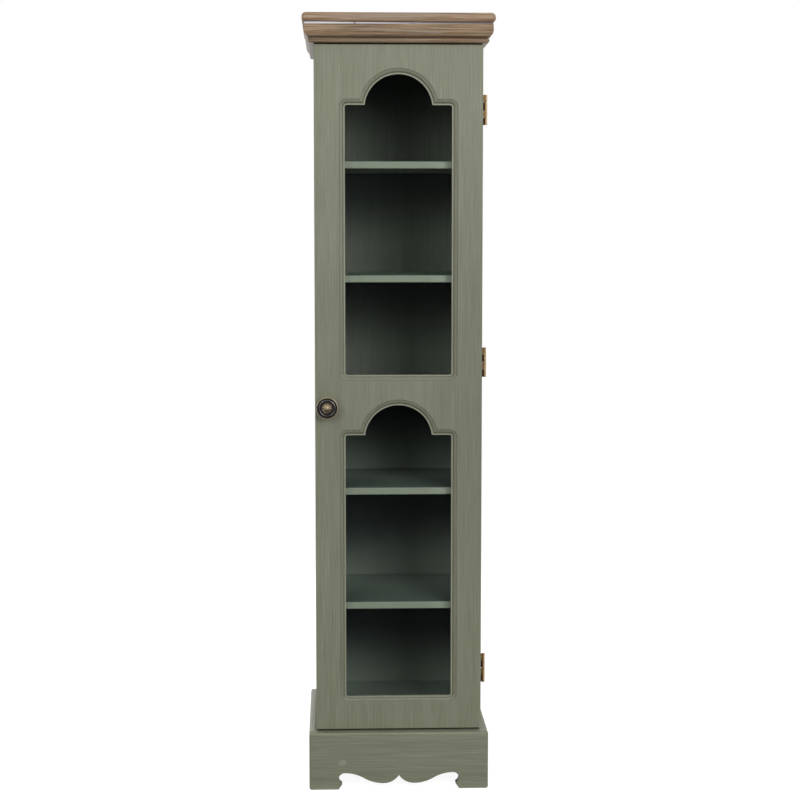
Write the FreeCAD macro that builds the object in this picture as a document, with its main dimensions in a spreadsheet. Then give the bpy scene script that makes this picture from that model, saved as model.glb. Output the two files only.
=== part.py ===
import FreeCAD, Part
import math
import os
import Sketcher

# Slim glass display cabinet: one glazed door on three butt hinges, five fixed shelves, a bracket plinth
# with a scroll-cut apron and a moulded wooden cornice.
# Millimetres. +X is to the viewer's right, the door faces -Y and +Z is up.
# The origin is on the floor, under the middle of the whole cabinet, knob included.

SIZES = {
    # Carcass
    "carcass_width": 280.0,
    "carcass_depth": 262.0,
    "side_thickness": 18.0,
    "top_thickness": 15.0,
    "bottom_thickness": 15.0,
    "back_thickness": 4.0,
    "back_rebate": 8.0,
    "housing_depth": 4.0,
    "end_clearance": 0.2,
    # Shelves, placed by the windows in front of them
    "shelf_thickness": 12.0,
    "shelf_setback": 8.0,
    "shelf_round": 1.5,
    "lower_first_shelf_height": 158.0,
    "lower_second_shelf_height": 355.0,
    "upper_first_shelf_height": 166.0,
    "upper_second_shelf_height": 356.0,
    # Door
    "door_thickness": 18.0,
    "door_gap": 1.6,
    "door_top_gap": 2.0,
    "door_bottom_gap": 3.1,
    "door_edge_round": 1.2,
    "top_rail": 48.0,
    "middle_rail": 51.0,
    "bottom_rail": 55.9,
    "stile_width": 51.0,
    "window_height": 498.0,
    "window_corner": 3.5,
    "window_shoulder": 32.9,
    "arch_centre_drop": 5.9,
    # Moulded edge round each window
    "quirk_width": 0.6,
    "quirk_depth": 1.3,
    "quirk_bevel": 1.0,
    "ovolo_radius": 6.4,
    "ovolo_wall": 0.4,
    "land_width": 2.5,
    "land_depth": 4.9,
    # Glazing
    "glass_thickness": 3.0,
    "glass_clearance": 0.8,
    "rebate_width": 9.0,
    "lip_thickness": 9.0,
    "bead_width": 7.0,
    # Hinges
    "leaf_height": 50.0,
    "leaf_width": 15.0,
    "leaf_thickness": 1.4,
    "barrel_diameter": 5.2,
    "barrel_gap": 3.0,
    "knuckle_gap": 0.3,
    "pin_diameter": 2.4,
    "pin_clearance": 0.06,
    "hinge_top_margin": 105.4,
    "hinge_above_rail": 20.0,
    "hinge_bottom_margin": 100.3,
    # Small countersunk screws of the hinges, catch and strike plate
    "screw_head_diameter": 5.2,
    "screw_diameter": 2.6,
    "screw_clearance": 0.05,
    "hinge_screw_spread": 30.0,
    "door_screw_length": 12.0,
    "carcass_screw_length": 16.0,
    # Knob
    "knob_diameter": 37.0,
    "knob_from_edge": 20.2,
    "knob_below_rail": 53.8,
    "knob_base_diameter": 19.0,
    "knob_base_height": 2.0,
    "knob_cove_height": 3.0,
    "knob_neck_diameter": 11.0,
    "knob_neck_length": 4.0,
    "knob_flare_height": 6.4,
    "knob_back_bevel": 1.5,
    "knob_rim_height": 2.1,
    "knob_rim_width": 1.7,
    "knob_rim_proud": 1.2,
    "knob_rim_round": 0.8,
    "knob_outer_groove_width": 2.4,
    "knob_ring_width": 3.1,
    "knob_inner_groove_width": 2.1,
    "knob_ring_proud": 1.2,
    "knob_ring_crown": 0.7,
    "knob_dome_wall": 1.5,
    "knob_dome_rise": 7.5,
    "knob_screw_diameter": 4.0,
    "knob_screw_head_diameter": 8.0,
    "knob_screw_head_height": 2.4,
    "knob_screw_reach": 10.0,
    "knob_screw_clearance": 0.2,
    "washer_diameter": 10.0,
    "washer_thickness": 1.0,
    "washer_room": 0.5,
    "knob_screw_sink": 0.6,
    # Magnetic catch
    "catch_above_shelf": 6.0,
    "catch_width": 16.0,
    "catch_depth": 28.0,
    "catch_length": 42.0,
    "catch_running_gap": 0.3,
    "pole_proud": 1.0,
    "pole_thickness": 1.2,
    "magnet_thickness": 4.0,
    "magnet_depth": 12.0,
    "magnet_length": 20.0,
    "catch_screw_spread": 30.0,
    "catch_screw_bite": 9.0,
    "catch_screw_setback": 19.6,
    "catch_screw_head_height": 1.4,
    "strike_thickness": 1.2,
    "strike_width": 14.0,
    "strike_length": 34.0,
    "strike_screw_spread": 20.0,
    # Plinth
    "plinth_height": 98.0,
    "plinth_side_overhang": 12.3,
    "plinth_front_overhang": 14.0,
    "plinth_board": 18.0,
    "plinth_round": 4.0,
    "plinth_back_board": 15.0,
    "plinth_back_height": 60.0,
    "cleat_height": 20.0,
    "cleat_width": 20.0,
    "cleat_seat_width": 20.0,
    "foot_block": 24.0,
    # Scroll cut of the apron
    "foot_width": 49.6,
    "lobe_offset": 10.5,
    "lobe_radius": 10.2,
    "lobe_height": 18.0,
    "nib_inset": 4.4,
    "drop_offset": 26.0,
    "drop_height": 10.2,
    "peak_height": 24.0,
    # Cornice
    "moulding_seat_width": 14.4,
    "bead_radius": 3.5,
    "bead_overhang": 9.2,
    "bead_quirk": 2.0,
    "ovolo_foot": 9.8,
    "ovolo_rise": 11.5,
    "moulding_fillet": 9.0,
    "ovolo_overhang": 15.5,
    "cornice_back_board": 15.0,
    "spacer_height": 2.8,
    "spacer_overhang": 14.6,
    "cap_thickness": 15.7,
    "cap_overhang": 19.3,
    "cap_corner": 8.0,
    "cap_edge_flat": 2.0,
    # Frame screws and back panel pins
    "frame_screw_head_diameter": 8.0,
    "frame_screw_head_height": 2.6,
    "frame_screw_diameter": 4.0,
    "plinth_screw_bite": 10.0,
    "front_cleat_screw_inset": 55.0,
    "side_cleat_screw_inset": 50.0,
    "cornice_screw_inset": 60.0,
    "cornice_screw_bite": 16.0,
    "pin_head_diameter": 3.6,
    "pin_head_height": 1.0,
    "pin_shank_diameter": 1.6,
    "pin_length": 14.0,
}

UP = FreeCAD.Vector(0, 0, 1)
FORWARD = FreeCAD.Vector(0, -1, 0)
BACKWARD = FreeCAD.Vector(0, 1, 0)
LEFTWARD = FreeCAD.Vector(-1, 0, 0)

SIDES = {"left": -1, "right": 1}
NEAR = 1e-4
EASED_BY = {"Fillet": "Radius", "Chamfer": "Size"}

document = FreeCAD.newDocument("display_cabinet")
sheet = document.addObject("Spreadsheet::Sheet", "Sizes")
for row, (alias, number) in enumerate(SIZES.items(), start=1):
    sheet.set(f"A{row}", alias)
    sheet.set(f"B{row}", str(number))
    sheet.setAlias(f"B{row}", alias)
document.recompute()

pieces = []


class Size:
    """A length that keeps its number and the sheet formula behind it."""

    def __init__(self, value, formula):
        self.value = value
        self.formula = formula

    def _join(self, other, sign, value, swapped=False):
        other_formula = as_size(other).formula
        first, second = (other_formula, self.formula) if swapped else (self.formula, other_formula)
        return Size(value, f"({first} {sign} {second})")

    def __add__(self, other):
        return self._join(other, "+", self.value + as_size(other).value)

    def __radd__(self, other):
        return self._join(other, "+", as_size(other).value + self.value, True)

    def __sub__(self, other):
        return self._join(other, "-", self.value - as_size(other).value)

    def __rsub__(self, other):
        return self._join(other, "-", as_size(other).value - self.value, True)

    def __mul__(self, other):
        return self._join(other, "*", self.value * as_size(other).value)

    def __rmul__(self, other):
        return self._join(other, "*", as_size(other).value * self.value, True)

    def __truediv__(self, other):
        return self._join(other, "/", self.value / as_size(other).value)

    def __neg__(self):
        return -1 * self

    def root(self):
        return Size(math.sqrt(self.value), f"sqrt({self.formula})")


def arc_radius(run, rise):
    """Radius of an arc that starts square to the run and ends after the run and the rise."""
    return (run * run + rise * rise) / (2 * run)


def as_size(number):
    return number if isinstance(number, Size) else Size(float(number), f"({float(number)})")


def size(alias):
    return Size(float(sheet.get(alias)), f"Sizes.{alias}")


def bind(thing, name, length):
    thing.setExpression(name, as_size(length).formula)


def place(thing, x, y, z):
    for axis, length in zip("xyz", (x, y, z)):
        bind(thing, f"Placement.Base.{axis}", length)


def piece(label, solid):
    """Name a finished sub-part; the label also names its file."""
    solid.Label = label
    pieces.append(solid)
    return solid


# Boards and turned primitives

def box(name, x, y, z):
    """A board between two values along each axis."""
    solid = document.addObject("Part::Box", name)
    for side, (low, high) in zip(("Length", "Width", "Height"), (x, y, z)):
        bind(solid, side, high - low)
    place(solid, x[0], y[0], z[0])
    return solid


def rod(name, start, direction, radius, length):
    solid = document.addObject("Part::Cylinder", name)
    solid.Placement = FreeCAD.Placement(FreeCAD.Vector(), FreeCAD.Rotation(UP, direction))
    bind(solid, "Radius", radius)
    bind(solid, "Height", length)
    place(solid, *start)
    return solid


def taper(name, start, direction, first_radius, last_radius, length):
    solid = document.addObject("Part::Cone", name)
    solid.Placement = FreeCAD.Placement(FreeCAD.Vector(), FreeCAD.Rotation(UP, direction))
    bind(solid, "Radius1", first_radius)
    bind(solid, "Radius2", last_radius)
    bind(solid, "Height", length)
    place(solid, *start)
    return solid


def fuse(name, members):
    solid = document.addObject("Part::MultiFuse", name)
    solid.Shapes = members
    return solid


def cut(name, base, tools):
    solid = document.addObject("Part::Cut", name)
    solid.Base = base
    solid.Tool = tools[0] if len(tools) == 1 else fuse(f"{name}_cutters", tools)
    return solid


def group(name, members):
    solid = document.addObject("Part::Compound", name)
    solid.Links = members
    return solid


# Sketched bodies

def body_at(name, x, y, z):
    body = document.addObject("PartDesign::Body", name)
    place(body, x, y, z)
    return body


def sketch_on(body, name, role, lift=0):
    sketch = body.newObject("Sketcher::SketchObject", name)
    plane = next(feature for feature in body.Origin.OriginFeatures if feature.Role == role)
    sketch.AttachmentSupport = [(plane, "")]
    sketch.MapMode = "FlatFace"
    bind(sketch, "AttachmentOffset.Base.z", lift)
    return sketch


def constrain(sketch, kind, *where, length):
    index = sketch.addConstraint(Sketcher.Constraint(kind, *where, as_size(length).value))
    bind(sketch, f"Constraints[{index}]", length)


def side_between(first, last, radius):
    """The straight or bent side between two corners, and which of its ends comes first."""
    start = FreeCAD.Vector(first[0].value, first[1].value)
    end = FreeCAD.Vector(last[0].value, last[1].value)
    if radius is None:
        return Part.LineSegment(start, end), (1, 2)
    turn = math.copysign(1, radius.value)
    chord = end - start
    reach = math.sqrt(max(radius.value ** 2 - (chord.Length / 2) ** 2, 0.0))
    leftward = FreeCAD.Vector(-chord.y, chord.x).normalize()
    centre = (start + end) * 0.5 + leftward * (reach * turn)
    circle = Part.Circle(centre, UP, abs(radius.value))
    ordered = (start, end) if turn > 0 else (end, start)
    angles = [math.atan2(point.y - centre.y, point.x - centre.x) for point in ordered]
    return Part.ArcOfCircle(circle, *angles), (1, 2) if turn > 0 else (2, 1)


def outline(sketch, corners):
    """A closed outline. A corner is (x, y), or (x, y, radius) where the side that leaves it is an arc,
    turning left for a radius above zero and right for one below."""
    corners = [tuple(as_size(length) for length in corner) for corner in corners]
    sides = []
    for corner, following in zip(corners, corners[1:] + corners[:1]):
        radius = corner[2] if len(corner) == 3 else None
        geometry, ends = side_between(corner, following, radius)
        sides.append((sketch.addGeometry(geometry), ends, radius))
    for (index, ends, radius), (after, after_ends, _) in zip(sides, sides[1:] + sides[:1]):
        sketch.addConstraint(Sketcher.Constraint("Coincident", index, ends[1], after, after_ends[0]))
        if radius is not None:
            bent = radius if radius.value > 0 else -radius
            constrain(sketch, "Radius", index, length=bent)
    for (index, ends, _), corner in zip(sides, corners):
        constrain(sketch, "DistanceX", -1, 1, index, ends[0], length=corner[0])
        constrain(sketch, "DistanceY", -1, 1, index, ends[0], length=corner[1])


def rectangle(sketch, x, y):
    outline(sketch, [(x[0], y[0]), (x[1], y[0]), (x[1], y[1]), (x[0], y[1])])


def hole(sketch, x, y, radius):
    circle = Part.Circle(FreeCAD.Vector(as_size(x).value, as_size(y).value), UP, as_size(radius).value)
    index = sketch.addGeometry(circle)
    constrain(sketch, "DistanceX", -1, 1, index, 3, length=x)
    constrain(sketch, "DistanceY", -1, 1, index, 3, length=y)
    constrain(sketch, "Radius", index, length=radius)


def pad(body, sketch, length):
    feature = body.newObject("PartDesign::Pad", f"{sketch.Name}_pad")
    feature.Profile = sketch
    bind(feature, "Length", length)
    document.recompute()
    return feature


def pocket(body, sketch, depth, along_normal=False):
    """Sink a sketch into the body, and make sure that it took material away."""
    before = body.Tip.Shape.Volume
    feature = body.newObject("PartDesign::Pocket", f"{sketch.Name}_pocket")
    feature.Profile = sketch
    feature.Reversed = along_normal
    bind(feature, "Length", depth)
    document.recompute()
    if feature.Shape.Volume >= before - NEAR:
        raise RuntimeError(f"{feature.Name} cuts nothing")
    return feature


def edge_key(middle):
    return tuple(round(number, 3) for number in middle)


def sunk_edge(body, level):
    """A test for the edges at this level that the body hasn't got yet."""
    earlier = {edge_key(edge.CenterOfMass) for edge in body.Tip.Shape.Edges}
    return lambda middle: near(middle.y, level) and edge_key(middle) not in earlier


def ease_edges(body, name, length, wanted, kind="Fillet"):
    """Round or bevel the edges of the body that the wanted test picks by their middle."""
    base = body.Tip
    names = [f"Edge{number}" for number, edge in enumerate(base.Shape.Edges, start=1)
             if wanted(edge.CenterOfMass)]
    feature = body.newObject(f"PartDesign::{kind}", name)
    feature.Base = (base, names)
    bind(feature, EASED_BY[kind], length)
    document.recompute()
    return feature


def near(first, second):
    return abs(first - as_size(second).value) < NEAR


# Shared lines of the cabinet

half_width = size("carcass_width") / 2
inner_half = half_width - size("side_thickness")

window_half = half_width - size("stile_width")
window_step = size("window_height") + size("middle_rail")
door_height = size("top_rail") + size("window_height") + window_step + size("bottom_rail")
carcass_height = size("door_bottom_gap") + door_height + size("door_top_gap")
carcass_bottom = size("plinth_height")
carcass_top = carcass_bottom + carcass_height
door_bottom = carcass_bottom + size("door_bottom_gap")
window_bottoms = {
    "lower": size("bottom_rail"),
    "upper": size("bottom_rail") + window_step,
}

knob_face = (size("knob_base_height") + size("knob_cove_height") + size("knob_neck_length")
             + size("knob_flare_height") + size("knob_back_bevel") + size("knob_rim_height"))
knob_projection = knob_face + size("knob_dome_wall") + size("knob_dome_rise")
full_depth = knob_projection + size("door_thickness") + size("door_gap") + size("carcass_depth")
back = full_depth / 2
carcass_front = back - size("carcass_depth")
door_back = carcass_front - size("door_gap")
door_front = door_back - size("door_thickness")
back_panel_front = back - size("back_thickness")
shelf_front = carcass_front + size("shelf_setback")

floor_top = carcass_bottom + size("bottom_thickness")
ceiling = carcass_top - size("top_thickness")
shelf_tops = [
    door_bottom + window_bottoms["lower"] + size("lower_first_shelf_height"),
    door_bottom + window_bottoms["lower"] + size("lower_second_shelf_height"),
    door_bottom + window_bottoms["upper"] - (size("middle_rail") - size("shelf_thickness")) / 2,
    door_bottom + window_bottoms["upper"] + size("upper_first_shelf_height"),
    door_bottom + window_bottoms["upper"] + size("upper_second_shelf_height"),
]
board_half = inner_half + size("housing_depth") - size("end_clearance")

hinge_heights = {
    "upper": door_height - size("hinge_top_margin"),
    "middle": window_bottoms["upper"] + size("hinge_above_rail"),
    "lower": size("hinge_bottom_margin"),
}
barrel_radius = size("barrel_diameter") / 2
hinge_x = half_width + size("barrel_gap") + barrel_radius
hinge_y = door_back + size("door_gap") / 2
hinge_screw_x = half_width - size("leaf_width") / 2
hinge_screw_offsets = [-size("hinge_screw_spread") / 2, size("hinge_screw_spread") / 2]

head_radius = size("screw_head_diameter") / 2
shank_radius = size("screw_diameter") / 2
pilot_radius = shank_radius + size("screw_clearance")

knob_x = -half_width + size("knob_from_edge")
knob_height = window_bottoms["upper"] - size("knob_below_rail")
knob_z = door_bottom + knob_height
catch_z = shelf_tops[2] + size("catch_above_shelf") + size("catch_length") / 2
counterbore_depth = size("washer_thickness") + size("knob_screw_head_height") + size("knob_screw_sink")
catch_x = -inner_half + size("catch_width") / 2
strike_screw_offsets = [-size("strike_screw_spread") / 2, size("strike_screw_spread") / 2]
catch_screw_offsets = [-size("catch_screw_spread") / 2, size("catch_screw_spread") / 2]

plinth_half = half_width + size("plinth_side_overhang")
plinth_front = door_front - size("plinth_front_overhang")
plinth_inner_half = plinth_half - size("plinth_board")
apron_back = plinth_front + size("plinth_board")
plinth_back_front = back - size("plinth_back_board")
cleat_bottom = size("plinth_height") - size("cleat_height")
front_cleat_back = carcass_front + size("cleat_seat_width")
side_cleat_half = plinth_inner_half - size("cleat_width")

moulding_inner = size("door_thickness") + size("door_gap") + size("moulding_seat_width")
moulding_shoulder = 2 * size("bead_radius") + size("bead_quirk")
moulding_height = moulding_shoulder + size("ovolo_rise") + size("moulding_fillet")
moulding_top = carcass_top + moulding_height
spacer_top = moulding_top + size("spacer_height")


def countersunk(name, start, direction, head, head_height, shank, length):
    """A countersunk screw or pin whose flat head is at the start point."""
    tip = [as_size(place) + part * as_size(head_height) for place, part in zip(start, direction)]
    return fuse(name, [
        taper(f"{name}_head", start, direction, head, shank, head_height),
        rod(f"{name}_shank", tip, direction, shank, as_size(length) - head_height),
    ])


def countersinks(name, spots, direction, form):
    """The holes that such screws sit in, wider by the screw clearance."""
    room = size("screw_clearance")
    head, head_height, shank, length = form
    return [countersunk(f"{name}_{number}", spot, direction, head + room, head_height, shank + room, length)
            for number, spot in enumerate(spots)]


def screw_group(name, spots, direction, form):
    """A set of equal screws or pins as one sub-part."""
    screws = [countersunk(f"{name}_{number}", spot, direction, *form) for number, spot in enumerate(spots)]
    piece(name, group(name, screws))


# Where the frame screws and the back panel pins go, as one list each for the fasteners and their holes

frame_screw_head = size("frame_screw_head_diameter") / 2
frame_screw_shank = size("frame_screw_diameter") / 2
plinth_screw_length = size("cleat_height") + size("plinth_screw_bite")
cornice_screw_length = size("top_thickness") + size("cornice_screw_bite")
front_cleat_screw_y = carcass_front + size("cleat_seat_width") / 2
front_cleat_screw_x = plinth_inner_half - size("front_cleat_screw_inset")
side_cleat_screw_x = (side_cleat_half + inner_half) / 2
side_cleat_screw_ys = [front_cleat_back + size("side_cleat_screw_inset"),
                       plinth_back_front - size("side_cleat_screw_inset")]
cornice_screw_x = (inner_half + half_width - moulding_inner) / 2
cornice_screw_ys = [carcass_front + size("cornice_screw_inset"), back - size("cornice_screw_inset")]

plinth_screws = {
    "front": [(sign * front_cleat_screw_x, front_cleat_screw_y) for sign in SIDES.values()],
    "left": [(-side_cleat_screw_x, y) for y in side_cleat_screw_ys],
    "right": [(side_cleat_screw_x, y) for y in side_cleat_screw_ys],
}
cornice_screws = {
    side: [(sign * cornice_screw_x, y) for y in cornice_screw_ys] for side, sign in SIDES.items()
}
frame_screw_form = (frame_screw_head, size("frame_screw_head_height"), frame_screw_shank)
plinth_screw_form = (*frame_screw_form, plinth_screw_length)
cornice_screw_form = (*frame_screw_form, cornice_screw_length)
pin_form = (size("pin_head_diameter") / 2, size("pin_head_height"), size("pin_shank_diameter") / 2,
            size("pin_length"))

levels = [floor_top] + shelf_tops + [ceiling + size("shelf_thickness")]
bay_middles = [(low + high - size("shelf_thickness")) / 2 for low, high in zip(levels, levels[1:])]
side_pin_x = inner_half + size("back_rebate") / 2
panel_pin_xs = [-inner_half / 2, as_size(0), inner_half / 2]
side_pins = {side: [(sign * side_pin_x, z) for z in bay_middles] for side, sign in SIDES.items()}
bottom_pins = [(x, carcass_bottom + size("bottom_thickness") / 2) for x in panel_pin_xs]
top_pins = [(x, carcass_top - size("top_thickness") / 2) for x in panel_pin_xs]


def screw_holes(name, spots, z, form):
    return countersinks(name, [(x, y, z) for x, y in spots], UP, form)


def pin_holes(name, spots):
    return countersinks(name, [(x, back, z) for x, z in spots], FORWARD, pin_form)


# Carcass

def outward(side, low, high):
    """A span measured outwards from the middle plane, on the named side."""
    return (low, high) if SIDES[side] > 0 else (-high, -low)


def side_panel(side):
    name = f"side_panel_{side}"
    board = box(f"{name}_board", outward(side, inner_half, half_width), (carcass_front, back),
                (carcass_bottom, carcass_top))
    housing = outward(side, inner_half, inner_half + size("housing_depth"))
    cutters = [box(f"{name}_housing_{number}", housing, (shelf_front, back_panel_front),
                   (top - size("shelf_thickness"), top)) for number, top in enumerate(shelf_tops, start=1)]
    cutters.append(box(f"{name}_bottom_rebate", housing, (carcass_front, back_panel_front),
                       (carcass_bottom, floor_top)))
    cutters.append(box(f"{name}_top_rebate", housing, (carcass_front, back_panel_front),
                       (ceiling, carcass_top)))
    cutters.append(box(f"{name}_back_rebate",
                       outward(side, inner_half, inner_half + size("back_rebate")),
                       (back_panel_front, back), (carcass_bottom, carcass_top)))
    cutters += pin_holes(f"{name}_pin_hole", side_pins[side])
    if side == "right":
        cutters += hinge_mortises(name)
    else:
        cutters += [rod(f"{name}_catch_hole_{number}", (-inner_half, catch_screw_y, catch_z + offset),
                        LEFTWARD, pilot_radius, size("catch_screw_bite"))
                    for number, offset in enumerate(catch_screw_offsets)]
    piece(name, cut(name, board, cutters))


def hinge_mortises(name):
    """Recesses for the carcass leaves in the panel's front edge, with their screw holes."""
    cutters = []
    for hinge, height in hinge_heights.items():
        middle = door_bottom + height
        cutters.append(box(f"{name}_{hinge}_mortise", (half_width - size("leaf_width"), half_width),
                           (carcass_front, carcass_front + size("leaf_thickness")),
                           (middle - size("leaf_height") / 2, middle + size("leaf_height") / 2)))
        for number, offset in enumerate(hinge_screw_offsets):
            cutters.append(rod(f"{name}_{hinge}_screw_hole_{number}",
                               (hinge_screw_x, carcass_front, middle + offset), BACKWARD, pilot_radius,
                               size("carcass_screw_length")))
    return cutters


def end_panels():
    """The floor and the ceiling of the cabinet, housed between the sides."""
    span = (-board_half, board_half)
    depth = (carcass_front, back_panel_front)
    floor = box("bottom_panel_board", span, depth, (carcass_bottom, floor_top))
    spots = sum(plinth_screws.values(), [])
    floor_holes = screw_holes("bottom_panel_screw_hole", spots, cleat_bottom, plinth_screw_form)
    floor_holes += pin_holes("bottom_pin_hole", bottom_pins)
    piece("bottom_panel", cut("bottom_panel", floor, floor_holes))
    roof = box("top_panel_board", span, depth, (ceiling, carcass_top))
    spots = sum(cornice_screws.values(), [])
    roof_holes = screw_holes("top_panel_screw_hole", spots, ceiling, cornice_screw_form)
    roof_holes += pin_holes("top_pin_hole", top_pins)
    piece("top_panel", cut("top_panel", roof, roof_holes))


def back_panel():
    half = inner_half + size("back_rebate") - size("end_clearance")
    board = box("back_panel_board", (-half, half), (back_panel_front, back), (carcass_bottom, carcass_top))
    spots = side_pins["left"] + side_pins["right"] + bottom_pins + top_pins
    piece("back_panel", cut("back_panel", board, pin_holes("back_panel_hole", spots)))
    screw_group("back_panel_pins", [(x, back, z) for x, z in spots], FORWARD, pin_form)


def shelf(number, top):
    """A shelf with a softened front edge, let into both sides."""
    name = f"shelf_{number}"
    body = body_at(name, -board_half, shelf_front, top - size("shelf_thickness"))
    depth = back_panel_front - shelf_front
    soft = size("shelf_round")
    thick = size("shelf_thickness")
    profile = sketch_on(body, f"{name}_profile", "YZ_Plane")
    outline(profile, [(soft, 0), (depth, 0), (depth, thick), (soft, thick, soft),
                      (0, thick - soft), (0, soft, soft)])
    pad(body, profile, board_half * 2)
    piece(name, body)


# Plinth

def apron_corners(half, start, end):
    """Bracket feet joined by a scroll: a lobe by each foot, an ogee down to a drop, and a middle peak."""
    foot = half - size("foot_width")
    lobe = foot - size("lobe_offset")
    radius = size("lobe_radius")
    inset = size("nib_inset")
    nib = (lobe + inset, size("lobe_height") - (radius * radius - inset * inset).root())
    apex = size("lobe_height") + radius
    drop = size("drop_offset")
    drop_height = size("drop_height")
    middle = ((lobe + drop) / 2, (apex + drop_height) / 2)
    run = lobe - drop
    fall = apex - drop_height
    ogee = arc_radius(fall / 2, run / 2)
    rise = size("peak_height") - drop_height
    swing = arc_radius(rise, drop)
    return [
        (start, 0), (-foot, 0), (-nib[0], nib[1], -radius), (-lobe, apex, -ogee),
        (-middle[0], middle[1], ogee), (-drop, drop_height, swing), (0, size("peak_height"), swing),
        (drop, drop_height, ogee), (middle[0], middle[1], -ogee), (lobe, apex, -radius),
        nib, (foot, 0), (end, 0), (end, size("plinth_height")), (start, size("plinth_height")),
    ]


def plinth_front_board():
    body = body_at("plinth_front", 0, apron_back, 0)
    profile = sketch_on(body, "plinth_front_profile", "XZ_Plane")
    outline(profile, apron_corners(plinth_half, -plinth_half, plinth_half))
    pad(body, profile, size("plinth_board"))
    face = -size("plinth_board")

    def shown_edge(middle):
        on_end = near(abs(middle.x), plinth_half)
        on_top = near(middle.z, size("plinth_height"))
        on_foot = near(middle.z, 0)
        on_face = near(middle.y, face)
        return (on_top and on_face) or (on_end and (on_top or on_foot or on_face))

    ease_edges(body, "plinth_front_round", size("plinth_round"), shown_edge)
    piece("plinth_front", body)


def plinth_side_board(side):
    name = f"plinth_{side}"
    half = (back - plinth_front) / 2
    inner_face, outer_face = plinth_inner_half, plinth_half
    left_face = outward(side, inner_face, outer_face)[0]
    body = body_at(name, left_face, (back + plinth_front) / 2, 0)
    profile = sketch_on(body, f"{name}_profile", "YZ_Plane")
    outline(profile, apron_corners(half, -half + size("plinth_board"), half))
    pad(body, profile, size("plinth_board"))
    shown_face = size("plinth_board") if SIDES[side] > 0 else as_size(0)

    def shown_edge(middle):
        return near(middle.z, size("plinth_height")) and near(middle.x, shown_face)

    ease_edges(body, f"{name}_round", size("plinth_round"), shown_edge)
    piece(name, body)


def plinth_inside():
    """Back board, the cleats that carry the carcass, the foot blocks and the screws up into the floor."""
    high = size("plinth_height")
    inside = (-plinth_inner_half, plinth_inner_half)
    rail = box("plinth_back", inside, (plinth_back_front, back), (high - size("plinth_back_height"), high))
    piece("plinth_back", rail)
    cleats = {
        "front": (inside, (apron_back, front_cleat_back)),
        "left": ((-plinth_inner_half, -side_cleat_half), (front_cleat_back, plinth_back_front)),
        "right": ((side_cleat_half, plinth_inner_half), (front_cleat_back, plinth_back_front)),
    }
    for where, (x, y) in cleats.items():
        name = f"plinth_cleat_{where}"
        holes = screw_holes(f"{name}_hole", plinth_screws[where], cleat_bottom, plinth_screw_form)
        piece(name, cut(name, box(f"{name}_board", x, y, (cleat_bottom, high)), holes))
    block = size("foot_block")
    depths = {
        "front": (apron_back, apron_back + block),
        "back": (plinth_back_front - block, plinth_back_front),
    }
    blocks = []
    for end, depth in depths.items():
        for side in SIDES:
            width = outward(side, plinth_inner_half - block, plinth_inner_half)
            blocks.append(box(f"foot_block_{end}_{side}", width, depth, (as_size(0), cleat_bottom)))
    piece("foot_blocks", group("foot_blocks", blocks))
    spots = sum(plinth_screws.values(), [])
    screw_group("plinth_screws", [(x, y, cleat_bottom) for x, y in spots], UP, plinth_screw_form)


# Cornice

def moulding_corners(sign):
    """Section of the crown moulding, outwards from the carcass face: a bead, a quirk and a tall ovolo."""
    bead = size("bead_radius")
    bead_back = size("bead_overhang") - bead
    run = size("ovolo_overhang") - size("ovolo_foot")
    rise = size("ovolo_rise")
    ovolo = arc_radius(run, rise)
    high = moulding_height
    corners = [
        (-moulding_inner, 0), (bead_back, 0, bead), (size("bead_overhang"), bead, bead),
        (bead_back, 2 * bead), (bead_back, moulding_shoulder),
        (size("ovolo_foot"), moulding_shoulder, ovolo),
        (size("ovolo_overhang"), moulding_shoulder + rise), (size("ovolo_overhang"), high),
        (-moulding_inner, high),
    ]
    return [(sign * corner[0], corner[1], *[sign * bend for bend in corner[2:]]) for corner in corners]


def cornice_front():
    """The front length, cut at 45 degrees at both ends."""
    out = size("ovolo_overhang")
    length = 2 * (half_width + out)
    body = body_at("cornice_front", -half_width - out, door_front, carcass_top)
    profile = sketch_on(body, "cornice_front_profile", "YZ_Plane")
    outline(profile, moulding_corners(-1))
    pad(body, profile, length)
    mitres = sketch_on(body, "cornice_front_mitres", "XY_Plane")
    reach = out + moulding_inner
    outline(mitres, [(0, -out), (reach, moulding_inner), (0, moulding_inner)])
    outline(mitres, [(length, -out), (length, moulding_inner), (length - reach, moulding_inner)])
    pocket(body, mitres, moulding_height, along_normal=True)
    piece("cornice_front", body)


def cornice_return(side):
    """A side length, cut at 45 degrees in front and square at the back."""
    sign = SIDES[side]
    name = f"cornice_{side}"
    out = size("ovolo_overhang")
    depth = back - door_front
    body = body_at(f"{name}_length", sign * half_width, back, carcass_top)
    profile = sketch_on(body, f"{name}_profile", "XZ_Plane")
    outline(profile, moulding_corners(sign))
    pad(body, profile, depth + out)
    mitre = sketch_on(body, f"{name}_mitre", "XY_Plane")
    outline(mitre, [(sign * out, -depth - out), (-sign * moulding_inner, moulding_inner - depth),
                    (-sign * moulding_inner, -depth - out)])
    pocket(body, mitre, moulding_height, along_normal=True)
    holes = screw_holes(f"{name}_hole", cornice_screws[side], ceiling, cornice_screw_form)
    piece(name, cut(name, body, holes))


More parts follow.
